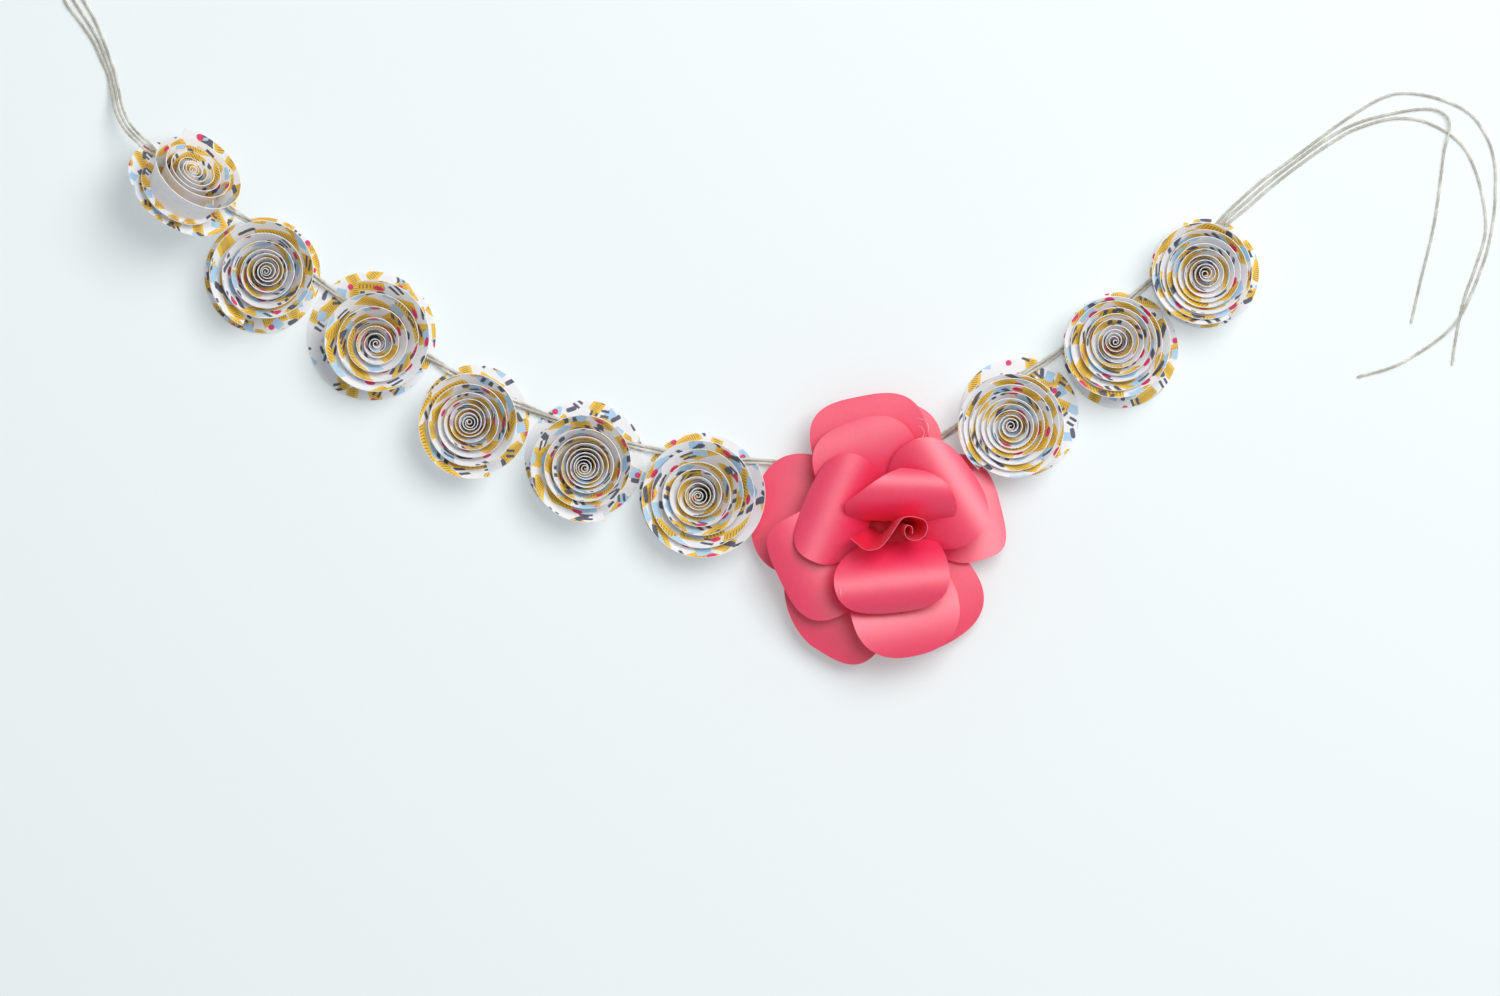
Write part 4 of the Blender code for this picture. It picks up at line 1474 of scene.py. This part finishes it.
@dataclass
class Strand:
    """One strand of twine: two yarns twisted together along a path, with loose fibres standing off them."""

    name: str
    path: np.ndarray
    diameter: float = TWINE_DIAMETER
    sides: int = 10
    twist: float = 0.0062
    # The loose fibres.
    fuzz_spacing: float = 0.0035
    fuzz_length: float = 0.0026
    fuzz_steps: int = 4
    fuzz_radius: float = 0.00006
    fuzz_floor: float = 0.0001
    fuzz_root: float = 0.38
    fuzz_rise: float = 0.42
    fuzz_bend: float = 0.25
    fuzz_taper: float = 0.8
    fuzz_sides: Spot = (-0.2, 1.2)
    fuzz_sizes: Spot = (0.5, 1.3)
    fuzz_sway: float = 0.5
    fuzz_lowest: float = -0.3
    # The two yarns' lobes and the strand's thick and thin places.
    lobe_middle: float = 0.89
    lobe_swing: float = 0.11
    fullness: float = 1.04
    slub: float = 0.06
    slub_rate: float = 420.0
    # Which unevenness it has, and how thick it is at its two ends.
    seed: int = 1
    start_share: float = 0.7
    end_share: float = 0.7

    def frames(self) -> tuple[np.ndarray, np.ndarray, np.ndarray]:
        """Directions along the path that don't spin round it.

        Returns:
            The direction ahead and two directions across, at each point.
        """
        ahead = np.gradient(self.path, axis=0)
        ahead /= np.linalg.norm(ahead, axis=1)[:, None]
        aside = np.zeros_like(ahead)
        first = np.cross(ahead[0], (0.0, 0.0, 1.0))
        aside[0] = first / np.linalg.norm(first)
        for i in range(1, len(ahead)):
            kept = aside[i - 1] - ahead[i] * np.dot(aside[i - 1], ahead[i])
            aside[i] = kept / np.linalg.norm(kept)
        return ahead, aside, np.cross(ahead, aside)

    def tube(self) -> tuple[np.ndarray, list[tuple[int, ...]], np.ndarray]:
        """The strand's body.

        Returns:
            Its points, its faces and the flat place of each face corner.
        """
        _, aside, over = self.frames()
        along = distance_along(self.path)
        angle = np.linspace(0.0, 2 * math.pi, self.sides, endpoint=False)
        phase = 2 * math.pi * along / self.twist + 1.1 * self.seed
        lobes = self.lobe_middle + self.lobe_swing * np.cos(2 * (angle[None, :] - phase[:, None]))
        slub = 1 + self.slub * wander(along * self.slub_rate, self.seed + 0.5)
        reach = self.diameter / 2 * self.fullness * lobes * slub[:, None]
        reach[0] *= self.start_share
        reach[-1] *= self.end_share
        cosine, sine = np.cos(angle)[None, :, None], np.sin(angle)[None, :, None]
        ring = aside[:, None, :] * cosine + over[:, None, :] * sine
        points = (self.path[:, None, :] + ring * reach[:, :, None]).reshape(-1, 3)
        faces = []
        flat = []
        for i in range(len(self.path) - 1):
            for j in range(self.sides):
                k = (j + 1) % self.sides
                here, there = i * self.sides, (i + 1) * self.sides
                faces.append((here + j, here + k, there + k, there + j))
                u, v = along[i], along[i + 1]
                low, high = j / self.sides, (j + 1) / self.sides
                flat.extend([(u * 10, low), (u * 10, high), (v * 10, high), (v * 10, low)])
        faces.append(tuple(reversed(range(self.sides))))
        flat.extend([(0.0, 0.0)] * self.sides)
        last = (len(self.path) - 1) * self.sides
        faces.append(tuple(last + j for j in range(self.sides)))
        flat.extend([(0.0, 0.0)] * self.sides)
        return points, faces, np.array(flat)

    def fuzz(self) -> tuple[np.ndarray, list[tuple[int, ...]]]:
        """The loose fibres, each a thin bent spike.

        Returns:
            Their points and faces.
        """
        luck = np.random.default_rng(self.seed)
        ahead, aside, over = self.frames()
        count = int(route_length(self.path) / self.fuzz_spacing)
        points: list[np.ndarray] = []
        faces: list[tuple[int, ...]] = []
        for _ in range(count):
            i = int(luck.integers(2, len(self.path) - 2))
            angle = luck.uniform(self.fuzz_sides[0] * math.pi, self.fuzz_sides[1] * math.pi)
            off = aside[i] * math.cos(angle) + over[i] * math.sin(angle)
            if off[2] < self.fuzz_lowest:
                off = -off
            lean = ahead[i] * luck.choice((-1.0, 1.0))
            long = self.fuzz_length * luck.uniform(*self.fuzz_sizes)
            start = self.path[i] + off * self.diameter * self.fuzz_root
            sway = np.cross(off, lean) * luck.uniform(-self.fuzz_sway, self.fuzz_sway)
            first = len(points) * 3
            for s in range(self.fuzz_steps + 1):
                t = s / self.fuzz_steps
                forward = lean * (t - self.fuzz_bend * t * t)
                middle = start + (forward + off * self.fuzz_rise * t + sway * t * t) * long
                middle[2] = max(middle[2], self.fuzz_floor)
                thin = self.fuzz_radius * (1 - self.fuzz_taper * t)
                corners = [off * thin, -0.5 * off * thin + sway * thin, -0.5 * off * thin]
                points.append(middle + np.stack(corners))
                if s:
                    a, b = first + 3 * (s - 1), first + 3 * s
                    for j in range(3):
                        k = (j + 1) % 3
                        faces.append((a + j, a + k, b + k, b + j))
        if not points:
            return np.zeros((0, 3)), []
        return np.concatenate(points), faces

    def build(self, shop: Workshop) -> bpy.types.Object:
        """Makes the strand.

        Args:
            shop: The finishes.

        Returns:
            The strand's object.
        """
        points, faces, flat = self.tube()
        fibres, spikes = self.fuzz()
        shifted = [tuple(corner + len(points) for corner in face) for face in spikes]
        mesh = bpy.data.meshes.new(self.name)
        mesh.from_pydata(np.concatenate([points, fibres]).tolist(), [], faces + shifted)
        layer = mesh.uv_layers.new(name=SHEET_UV)
        flat = np.concatenate([flat, np.tile([0.3, 0.5], (4 * len(shifted), 1))])
        layer.data.foreach_set("uv", flat.ravel())
        mesh.shade_smooth()
        return link_mesh(self.name, mesh, [shop.twine])


@dataclass
class GarlandCord:
    """The twine that carries the garland: three strands laid loosely round one another."""

    route: Sequence[Point]
    lay_length: float = 0.088
    spread: float = 0.00092
    wide_share: float = 1.12
    tall_share: float = 0.82
    loose: float = 0.22
    drift: float = 1.6
    drift_rate: float = 26.0
    loose_rate: float = 40.0
    fan: float = 0.0019
    fan_length: float = 0.014
    step: float = 0.0005

    def paths(self) -> list[np.ndarray]:
        """The centre lines of the three strands, from the left end to the right.

        Returns:
            The points of each, one a row.
        """
        line = smooth_route(self.route, self.step)
        along = distance_along(line)
        whole = along[-1]
        ahead = np.gradient(line, axis=0)
        ahead /= np.linalg.norm(ahead, axis=1)[:, None]
        aside = np.cross(ahead, (0.0, 0.0, 1.0))
        aside /= np.linalg.norm(aside, axis=1)[:, None]
        over = np.cross(aside, ahead)
        near_end = np.clip(1 - np.minimum(along, whole - along) / self.fan_length, 0, 1)
        ease = near_end**2 * (3 - 2 * near_end)
        turn = 2 * math.pi * along / self.lay_length + self.drift * wander(along * self.drift_rate, 4.2)
        strands = []
        for number in range(3):
            phase = turn + 2 * math.pi * number / 3
            uneven = wander(along * self.loose_rate, 8.0 + number)
            reach = self.spread * (1 + self.loose * uneven)
            wide = np.cos(phase) * reach * self.wide_share * (1 - ease) + ease * (1 - number) * self.fan
            tall = np.sin(phase) * reach * self.tall_share * (1 - ease)
            strands.append(line + aside * wide[:, None] + over * tall[:, None])
        return strands

    def build(self, shop: Workshop) -> None:
        """Makes the three strands.

        Args:
            shop: The finishes.
        """
        for number, path in enumerate(self.paths()):
            name = f"twine_cord_strand_{number + 1}"
            strand = Strand(name, path, seed=31 + number, start_share=1.0, end_share=1.0)
            shop.hand_over(strand.build(shop), Slot.TWINE, "twine_cord")


@dataclass(frozen=True)
class TailCoil:
    """The coil that the three left tails are wound into, one outside the other."""

    centre: Spot = (-0.2887, 0.1985)
    inner_radius: float = 0.0062
    middle_radius: float = 0.0076
    outer_radius: float = 0.0090
    lift: float = 0.0016
    rise: float = 0.00165
    turns: float = 3.4


TAIL_COIL = TailCoil()


@dataclass
class TwineTail:
    """One loose end of a strand, which runs out from the end of the garland."""

    node: str
    route: Sequence[Point]
    exit: Point
    length: float
    lay: str
    seed: int
    coil_radius: float = 0.0
    steps_per_turn: int = 80
    step: float = 0.0006
    mark_spacing: float = 0.002
    fewest_marks: int = 15

    def path(self) -> np.ndarray:
        """The tail's centre line, with its turns in the coil where it has them.

        Returns:
            The points of the line, one a row.
        """
        line = smooth_route(self.route, self.step)
        if not self.coil_radius:
            return line
        coil = TAIL_COIL
        turn = np.linspace(0.0, coil.turns, round(coil.turns * self.steps_per_turn))
        angle = 2 * math.pi * turn
        helix = np.stack(
            [
                coil.centre[0] + self.coil_radius * np.cos(angle),
                coil.centre[1] + self.coil_radius * np.sin(angle),
                coil.lift + TWINE_DIAMETER / 2 + coil.rise * turn,
            ],
            axis=1,
        )
        whole = np.concatenate([line, helix])
        return respace(whole, round(route_length(whole) / self.step) + 1)

    def build(self, shop: Workshop, held_by: Sequence[bpy.types.Object]) -> bpy.types.Object:
        """Makes the tail.

        Args:
            shop: The finishes.
            held_by: The pieces on it; not used.

        Returns:
            The tail's object.
        """
        path = self.path()
        LOG.info("%s is %.4f m long", self.node, route_length(path))
        piece = Strand(self.node + "_strand", path, seed=self.seed, start_share=1.0).build(shop)
        nodes = [self.node] + (["left_tail_coil"] if self.coil_radius else [])
        shop.hand_over(piece, Slot.TWINE, *nodes)
        return piece


@dataclass
class CoilTie:
    """A short twine loop that holds the wound left tails together."""

    inner: float = TAIL_COIL.inner_radius - TWINE_DIAMETER / 2
    outer: float = TAIL_COIL.outer_radius + TWINE_DIAMETER / 2
    height: float = TAIL_COIL.rise * TAIL_COIL.turns + TWINE_DIAMETER
    thickness: float = 0.0010
    slack: float = 0.0004
    square: float = 0.3
    half_slant: float = 0.0006
    steps: int = 260

    def build(self, shop: Workshop) -> bpy.types.Object:
        """Makes the loop.

        Args:
            shop: The finishes.

        Returns:
            The loop's object.
        """
        centre_x = TAIL_COIL.centre[0] - (self.inner + self.outer) / 2
        centre_z = TAIL_COIL.lift + self.height / 2
        half_wide = (self.outer - self.inner) / 2 + self.slack + self.thickness / 2
        half_high = self.height / 2 + self.slack + self.thickness / 2
        angle = np.linspace(0.0, 4 * math.pi, 160)
        wide = np.sign(np.cos(angle)) * np.abs(np.cos(angle)) ** self.square
        high = np.sign(np.sin(angle)) * np.abs(np.sin(angle)) ** self.square
        path = np.stack(
            [
                centre_x + half_wide * wide,
                TAIL_COIL.centre[1] + np.linspace(-self.half_slant, self.half_slant, len(angle)),
                centre_z + half_high * high,
            ],
            axis=1,
        )
        path = respace(path, self.steps)
        loop = Strand("coil_tie_strand", path, diameter=self.thickness, seed=77).build(shop)
        return shop.hand_over(loop, Slot.TWINE, "coil_tie")


@dataclass
class TwineTails:
    """The three loose tails at each end of the garland, each going on from a strand of the cord."""

    strands: Sequence[np.ndarray]
    right_exit: Point = (0.2338, 0.0725, 0.0021)
    left_exit: Point = (-0.2479, 0.1129, 0.0169)

    def build(self, shop: Workshop) -> None:
        """Makes the tails.

        Args:
            shop: The finishes.
        """
        for tail in self.right():
            tail.build(shop, ())
        tie = CoilTie().build(shop)
        for tail in self.left():
            tail.build(shop, (tie,) if tail.node == "left_tail_a" else ())

    def right(self) -> tuple[TwineTail, ...]:
        """The tails at the right end.

        Returns:
            The three tails.
        """
        first = (
            (0.2333, 0.0747, 0.0014), (0.2373, 0.0795, 0.0015), (0.2454, 0.0873, 0.0010),
            (0.2553, 0.0960, 0.0008), (0.2711, 0.1076, 0.0008), (0.2927, 0.1234, 0.0008),
            (0.3084, 0.1328, 0.0008), (0.3197, 0.1355, 0.0008), (0.3354, 0.1328, 0.0008),
            (0.3489, 0.1261, 0.0008), (0.3568, 0.1150, 0.0008), (0.3601, 0.1030, 0.0008),
            (0.3603, 0.0900, 0.0008), (0.3593, 0.0775, 0.0008), (0.3561, 0.0626, 0.0008),
            (0.3507, 0.0478, 0.0013), (0.3475, 0.0410, 0.0024), (0.3440, 0.0343, 0.0026),
            (0.3399, 0.0295, 0.0023), (0.3354, 0.0253, 0.0012), (0.3264, 0.0190, 0.0008),
            (0.3138, 0.0122, 0.0008), (0.2981, 0.0077, 0.0008),
        )
        second = (
            (0.2349, 0.0737, 0.0014), (0.2387, 0.0784, 0.0015), (0.2472, 0.0857, 0.0010),
            (0.2569, 0.0942, 0.0008), (0.2723, 0.1061, 0.0008), (0.2859, 0.1157, 0.0008),
            (0.2994, 0.1225, 0.0008), (0.3174, 0.1270, 0.0008), (0.3309, 0.1283, 0.0010),
            (0.3379, 0.1255, 0.0020), (0.3397, 0.1205, 0.0026), (0.3387, 0.1150, 0.0026),
            (0.3371, 0.1080, 0.0013), (0.3345, 0.0875, 0.0008), (0.3318, 0.0716, 0.0008),
            (0.3268, 0.0515, 0.0008), (0.3224, 0.0320, 0.0008),
        )
        third = (
            (0.2365, 0.0727, 0.0014), (0.2404, 0.0772, 0.0015), (0.2488, 0.0840, 0.0010),
            (0.2585, 0.0925, 0.0008), (0.2737, 0.1043, 0.0008), (0.2875, 0.1138, 0.0008),
            (0.2988, 0.1198, 0.0008), (0.3153, 0.1241, 0.0008), (0.3303, 0.1220, 0.0008),
            (0.3444, 0.1130, 0.0008), (0.3512, 0.1009, 0.0008), (0.3550, 0.0865, 0.0008),
            (0.3558, 0.0725, 0.0008), (0.3513, 0.0570, 0.0008), (0.3463, 0.0430, 0.0008),
            (0.3433, 0.0295, 0.0008), (0.3417, 0.0199, 0.0008), (0.3408, 0.0131, 0.0008),
        )
        return (
            TwineTail("right_tail_a", (self.strands[2][-1], *first), self.right_exit, 0.291, "loose", 41),
            TwineTail("right_tail_b", (self.strands[1][-1], *second), self.right_exit, 0.219, "loose", 42),
            TwineTail("right_tail_c", (self.strands[0][-1], *third), self.right_exit, 0.234, "loose", 43),
        )

    def left(self) -> tuple[TwineTail, ...]:
        """The tails at the left end, wound up where they leave the view.

        Returns:
            The three tails.
        """
        first = (
            (-0.2494, 0.1123, 0.0169), (-0.2554, 0.1181, 0.0136), (-0.2602, 0.1266, 0.0076),
            (-0.2623, 0.1360, 0.0026), (-0.2639, 0.1436, 0.0008), (-0.2669, 0.1505, 0.0008),
            (-0.2709, 0.1591, 0.0008), (-0.2773, 0.1685, 0.0008), (-0.2832, 0.1765, 0.0008),
            (-0.2834, 0.1830, 0.0014), (-0.2825, 0.1902, 0.0022),
        )
        second = (
            (-0.2484, 0.1135, 0.0169), (-0.2541, 0.1191, 0.0136), (-0.2586, 0.1274, 0.0076),
            (-0.2607, 0.1365, 0.0026), (-0.2623, 0.1440, 0.0008), (-0.2651, 0.1511, 0.0008),
            (-0.2687, 0.1599, 0.0008), (-0.2741, 0.1691, 0.0008), (-0.2795, 0.1775, 0.0008),
            (-0.2811, 0.1840, 0.0014), (-0.2811, 0.1914, 0.0022),
        )
        third = (
            (-0.2474, 0.1148, 0.0169), (-0.2528, 0.1203, 0.0136), (-0.2570, 0.1282, 0.0076),
            (-0.2591, 0.1370, 0.0026), (-0.2607, 0.1444, 0.0008), (-0.2633, 0.1517, 0.0008),
            (-0.2665, 0.1607, 0.0008), (-0.2708, 0.1700, 0.0008), (-0.2757, 0.1785, 0.0008),
            (-0.2788, 0.1853, 0.0014), (-0.2797, 0.1932, 0.0022),
        )
        starts = [strand[0] for strand in self.strands]
        coil = TAIL_COIL
        out = self.left_exit
        return (
            TwineTail("left_tail_a", (starts[0], *first), out, 0.232, "coiled", 51, coil.inner_radius),
            TwineTail("left_tail_b", (starts[1], *second), out, 0.260, "coiled", 52, coil.middle_radius),
            TwineTail("left_tail_c", (starts[2], *third), out, 0.288, "coiled", 53, coil.outer_radius),
        )


@dataclass
class Studio:
    """The pale table, the soft light and the camera straight above."""

    aim: Spot = (0.0249, -0.0467)
    view_width: float = 0.675
    lens: float = 400.0
    sensor: float = 36.0
    clip_end: float = 60.0
    table_size: float = 30.0
    table_drop: float = 0.0001
    table_colour: Rgb = srgb(240, 247, 248)
    glow: Rgb = (0.965, 0.995, 0.99)
    glow_share: float = 0.25
    key_place: Point = (0.80, 0.78, 1.95)
    key_size: float = 1.5
    key_power: float = 40.5
    key_colour: Rgb = (1.0, 0.985, 0.965)
    room_colour: Rgb = (0.90, 0.95, 1.0)
    room_strength: float = 0.41

    def build(self) -> None:
        """Sets up the table, the lamps, the world and the camera."""
        self.table()
        self.lamp()
        self.world()
        self.camera()
        bpy.context.scene.view_settings.view_transform = "Standard"

    def table(self) -> None:
        """Makes the pale surface that the garland lies on."""
        half = self.table_size / 2
        corners = [(-half, -half, 0.0), (half, -half, 0.0), (half, half, 0.0), (-half, half, 0.0)]
        mesh = bpy.data.meshes.new("table_top")
        mesh.from_pydata(corners, [], [(0, 1, 2, 3)])
        board = NodeBoard("table_white")
        board.finish(Base_Color=self.table_colour, Roughness=0.85, Specular_IOR_Level=0.1)
        glow = board.add("ShaderNodeEmission", {}, {"Color": self.glow, "Strength": 1.0})
        path = board.add("ShaderNodeLightPath")
        mirrored = board.maths("MAXIMUM", path.outputs["Is Glossy Ray"], path.outputs["Is Transmission Ray"])
        seen = board.maths("MAXIMUM", path.outputs["Is Camera Ray"], mirrored)
        share = board.maths("MULTIPLY", seen, self.glow_share)
        shaders = {0: share, 1: board.shader.outputs[0], 2: glow.outputs[0]}
        blend = board.add("ShaderNodeMixShader", {}, shaders)
        board.tree.links.new(blend.outputs[0], board.tree.nodes["Material Output"].inputs["Surface"])
        top = link_mesh("table_top", mesh, [board.material], Matrix.Translation((0, 0, -self.table_drop)))

    def lamp(self) -> None:
        """Hangs the soft square lamp that faces the garland."""
        light = bpy.data.lights.new("key_lamp", "AREA")
        light.shape = "SQUARE"
        light.size = self.key_size
        light.energy = self.key_power
        light.color = self.key_colour
        lamp = bpy.data.objects.new("key_lamp", light)
        lamp.location = self.key_place
        toward = Vector((*self.aim, 0.0)) - Vector(self.key_place)
        lamp.rotation_euler = toward.to_track_quat("-Z", "Y").to_euler()
        bpy.context.scene.collection.objects.link(lamp)

    def world(self) -> None:
        """Fills the room with an even, cool light."""
        world = bpy.data.worlds.new("pale_room")
        bpy.context.scene.world = world
        world.use_nodes = True
        back = world.node_tree.nodes["Background"]
        back.inputs["Color"].default_value = (*self.room_colour, 1.0)
        back.inputs["Strength"].default_value = self.room_strength

    def camera(self) -> None:
        """Hangs the camera straight above the garland."""
        lens = bpy.data.cameras.new("camera_above")
        lens.lens = self.lens
        lens.sensor_width = self.sensor
        lens.clip_end = self.clip_end
        eye = bpy.data.objects.new("camera_above", lens)
        eye.location = (*self.aim, self.lens / self.sensor * self.view_width)
        bpy.context.scene.collection.objects.link(eye)
        bpy.context.scene.camera = eye


@dataclass
class Garland:
    """The whole garland."""

    # The number, disc and its radius, coil and its radius, turns, flare, ease, start, drift and its heading,
    # and glue of each, then what is its own.
    flowers: Sequence[RolledFlower] = field(
        default_factory=lambda: (
            RolledFlower(
                1, (-0.2302, 0.0916), 0.0270, (-0.2350, 0.0853), 0.0245, 8.2, 3.0, 0, 20, 0.0012, 60,
                (-0.2294, 0.0926), base_share=0.76, tab_overlap=0.0004, tip_angle=50.0,
            ),
            RolledFlower(
                2, (-0.1945, 0.0536), 0.0262, (-0.1933, 0.0545), 0.0258, 9.3, 3.6, 0, 140, 0.0012, 20,
                (-0.1882, 0.0605),
            ),
            RolledFlower(
                3, (-0.1454, 0.0262), 0.0292, (-0.1442, 0.0247), 0.0268, 7.4, 2.2, 0, 322, 0.0022, 300,
                (-0.1462, 0.0335), pitch=0.0016,
            ),
            RolledFlower(
                4, (-0.0987, -0.0113), 0.0246, (-0.1003, -0.0131), 0.0254, 9.5, 3.4, 0, 110, 0.0012, 150,
                (-0.0972, -0.0035),
            ),
            RolledFlower(
                5, (-0.0497, -0.0293), 0.0268, (-0.0492, -0.0315), 0.0266, 10.2, 6.0, 1, 218, 0.0016, 280,
                (-0.0487, -0.0230),
            ),
            RolledFlower(
                6, (0.0031, -0.0454), 0.0281, (0.0035, -0.0455), 0.0284, 9.6, 5.0, 5, 174, 0.0019, 185,
                (0.0038, -0.0355),
            ),
            RolledFlower(
                7, (0.1460, -0.0101), 0.0270, (0.1428, -0.0143), 0.0248, 10.5, 3.0, 2, 52, 0.001, 210,
                (0.1360, -0.0057), pitch=0.0018,
            ),
            RolledFlower(
                8, (0.1914, 0.0199), 0.0262, (0.1893, 0.0221), 0.0246, 10.0, 3.0, 1.5, 30, 0.0014, 100,
                (0.1847, 0.0293), pitch=0.0018,
            ),
            RolledFlower(
                9, (0.2294, 0.0545), 0.0247, (0.2283, 0.0550), 0.0240, 10.2, 3.0, 1.5, 228, 0.0018, 315,
                (0.2250, 0.0606), pitch=0.0018,
            ),
        )
    )
    cord_route: Sequence[Point] = (
        (-0.2479, 0.1129, 0.0169), (-0.2368, 0.1044, 0.0169), (-0.2265, 0.0965, 0.0169),
        (-0.2161, 0.0886, 0.0169), (-0.2059, 0.0813, 0.0172), (-0.2025, 0.0792, 0.0150),
        (-0.1997, 0.0775, 0.0100), (-0.1962, 0.0750, 0.0051), (-0.1924, 0.0721, 0.0025),
        (-0.1872, 0.0680, 0.0021), (-0.1747, 0.0560, 0.0021), (-0.1627, 0.0460, 0.0021),
        (-0.1487, 0.0360, 0.0021), (-0.1317, 0.0240, 0.0021), (-0.1155, 0.0140, 0.0021),
        (-0.0972, 0.0030, 0.0021), (-0.0807, -0.0040, 0.0021), (-0.0669, -0.0097, 0.0021),
        (-0.0427, -0.0180, 0.0021), (-0.0227, -0.0240, 0.0021), (0.0043, -0.0300, 0.0021),
        (0.0267, -0.0302, 0.0021), (0.0528, -0.0330, 0.0021), (0.0703, -0.0380, 0.0021),
        (0.0863, -0.0400, 0.0021), (0.0998, -0.0335, 0.0021), (0.1088, -0.0215, 0.0021),
        (0.1187, -0.0140, 0.0021), (0.1313, -0.0043, 0.0021), (0.1468, 0.0083, 0.0021),
        (0.1645, 0.0190, 0.0021), (0.1793, 0.0315, 0.0021), (0.1933, 0.0410, 0.0021),
        (0.2068, 0.0520, 0.0021), (0.2203, 0.0610, 0.0021), (0.2283, 0.0675, 0.0021),
        (0.2338, 0.0725, 0.0021),
    )

    def build(self, shop: Workshop) -> None:
        """Makes every piece of the garland.

        Args:
            shop: The finishes.
        """
        cord = GarlandCord(self.cord_route)
        cord.build(shop)
        TwineTails(cord.paths()).build(shop)
        for flower in self.flowers:
            flower.build(shop)
        CardRose().build(shop)


def main() -> None:
    """Builds the scene."""
    logging.basicConfig(level=logging.INFO, format="%(name)s: %(message)s")
    Studio().build()
    Garland().build(Workshop())


if __name__ == "__main__":
    main()
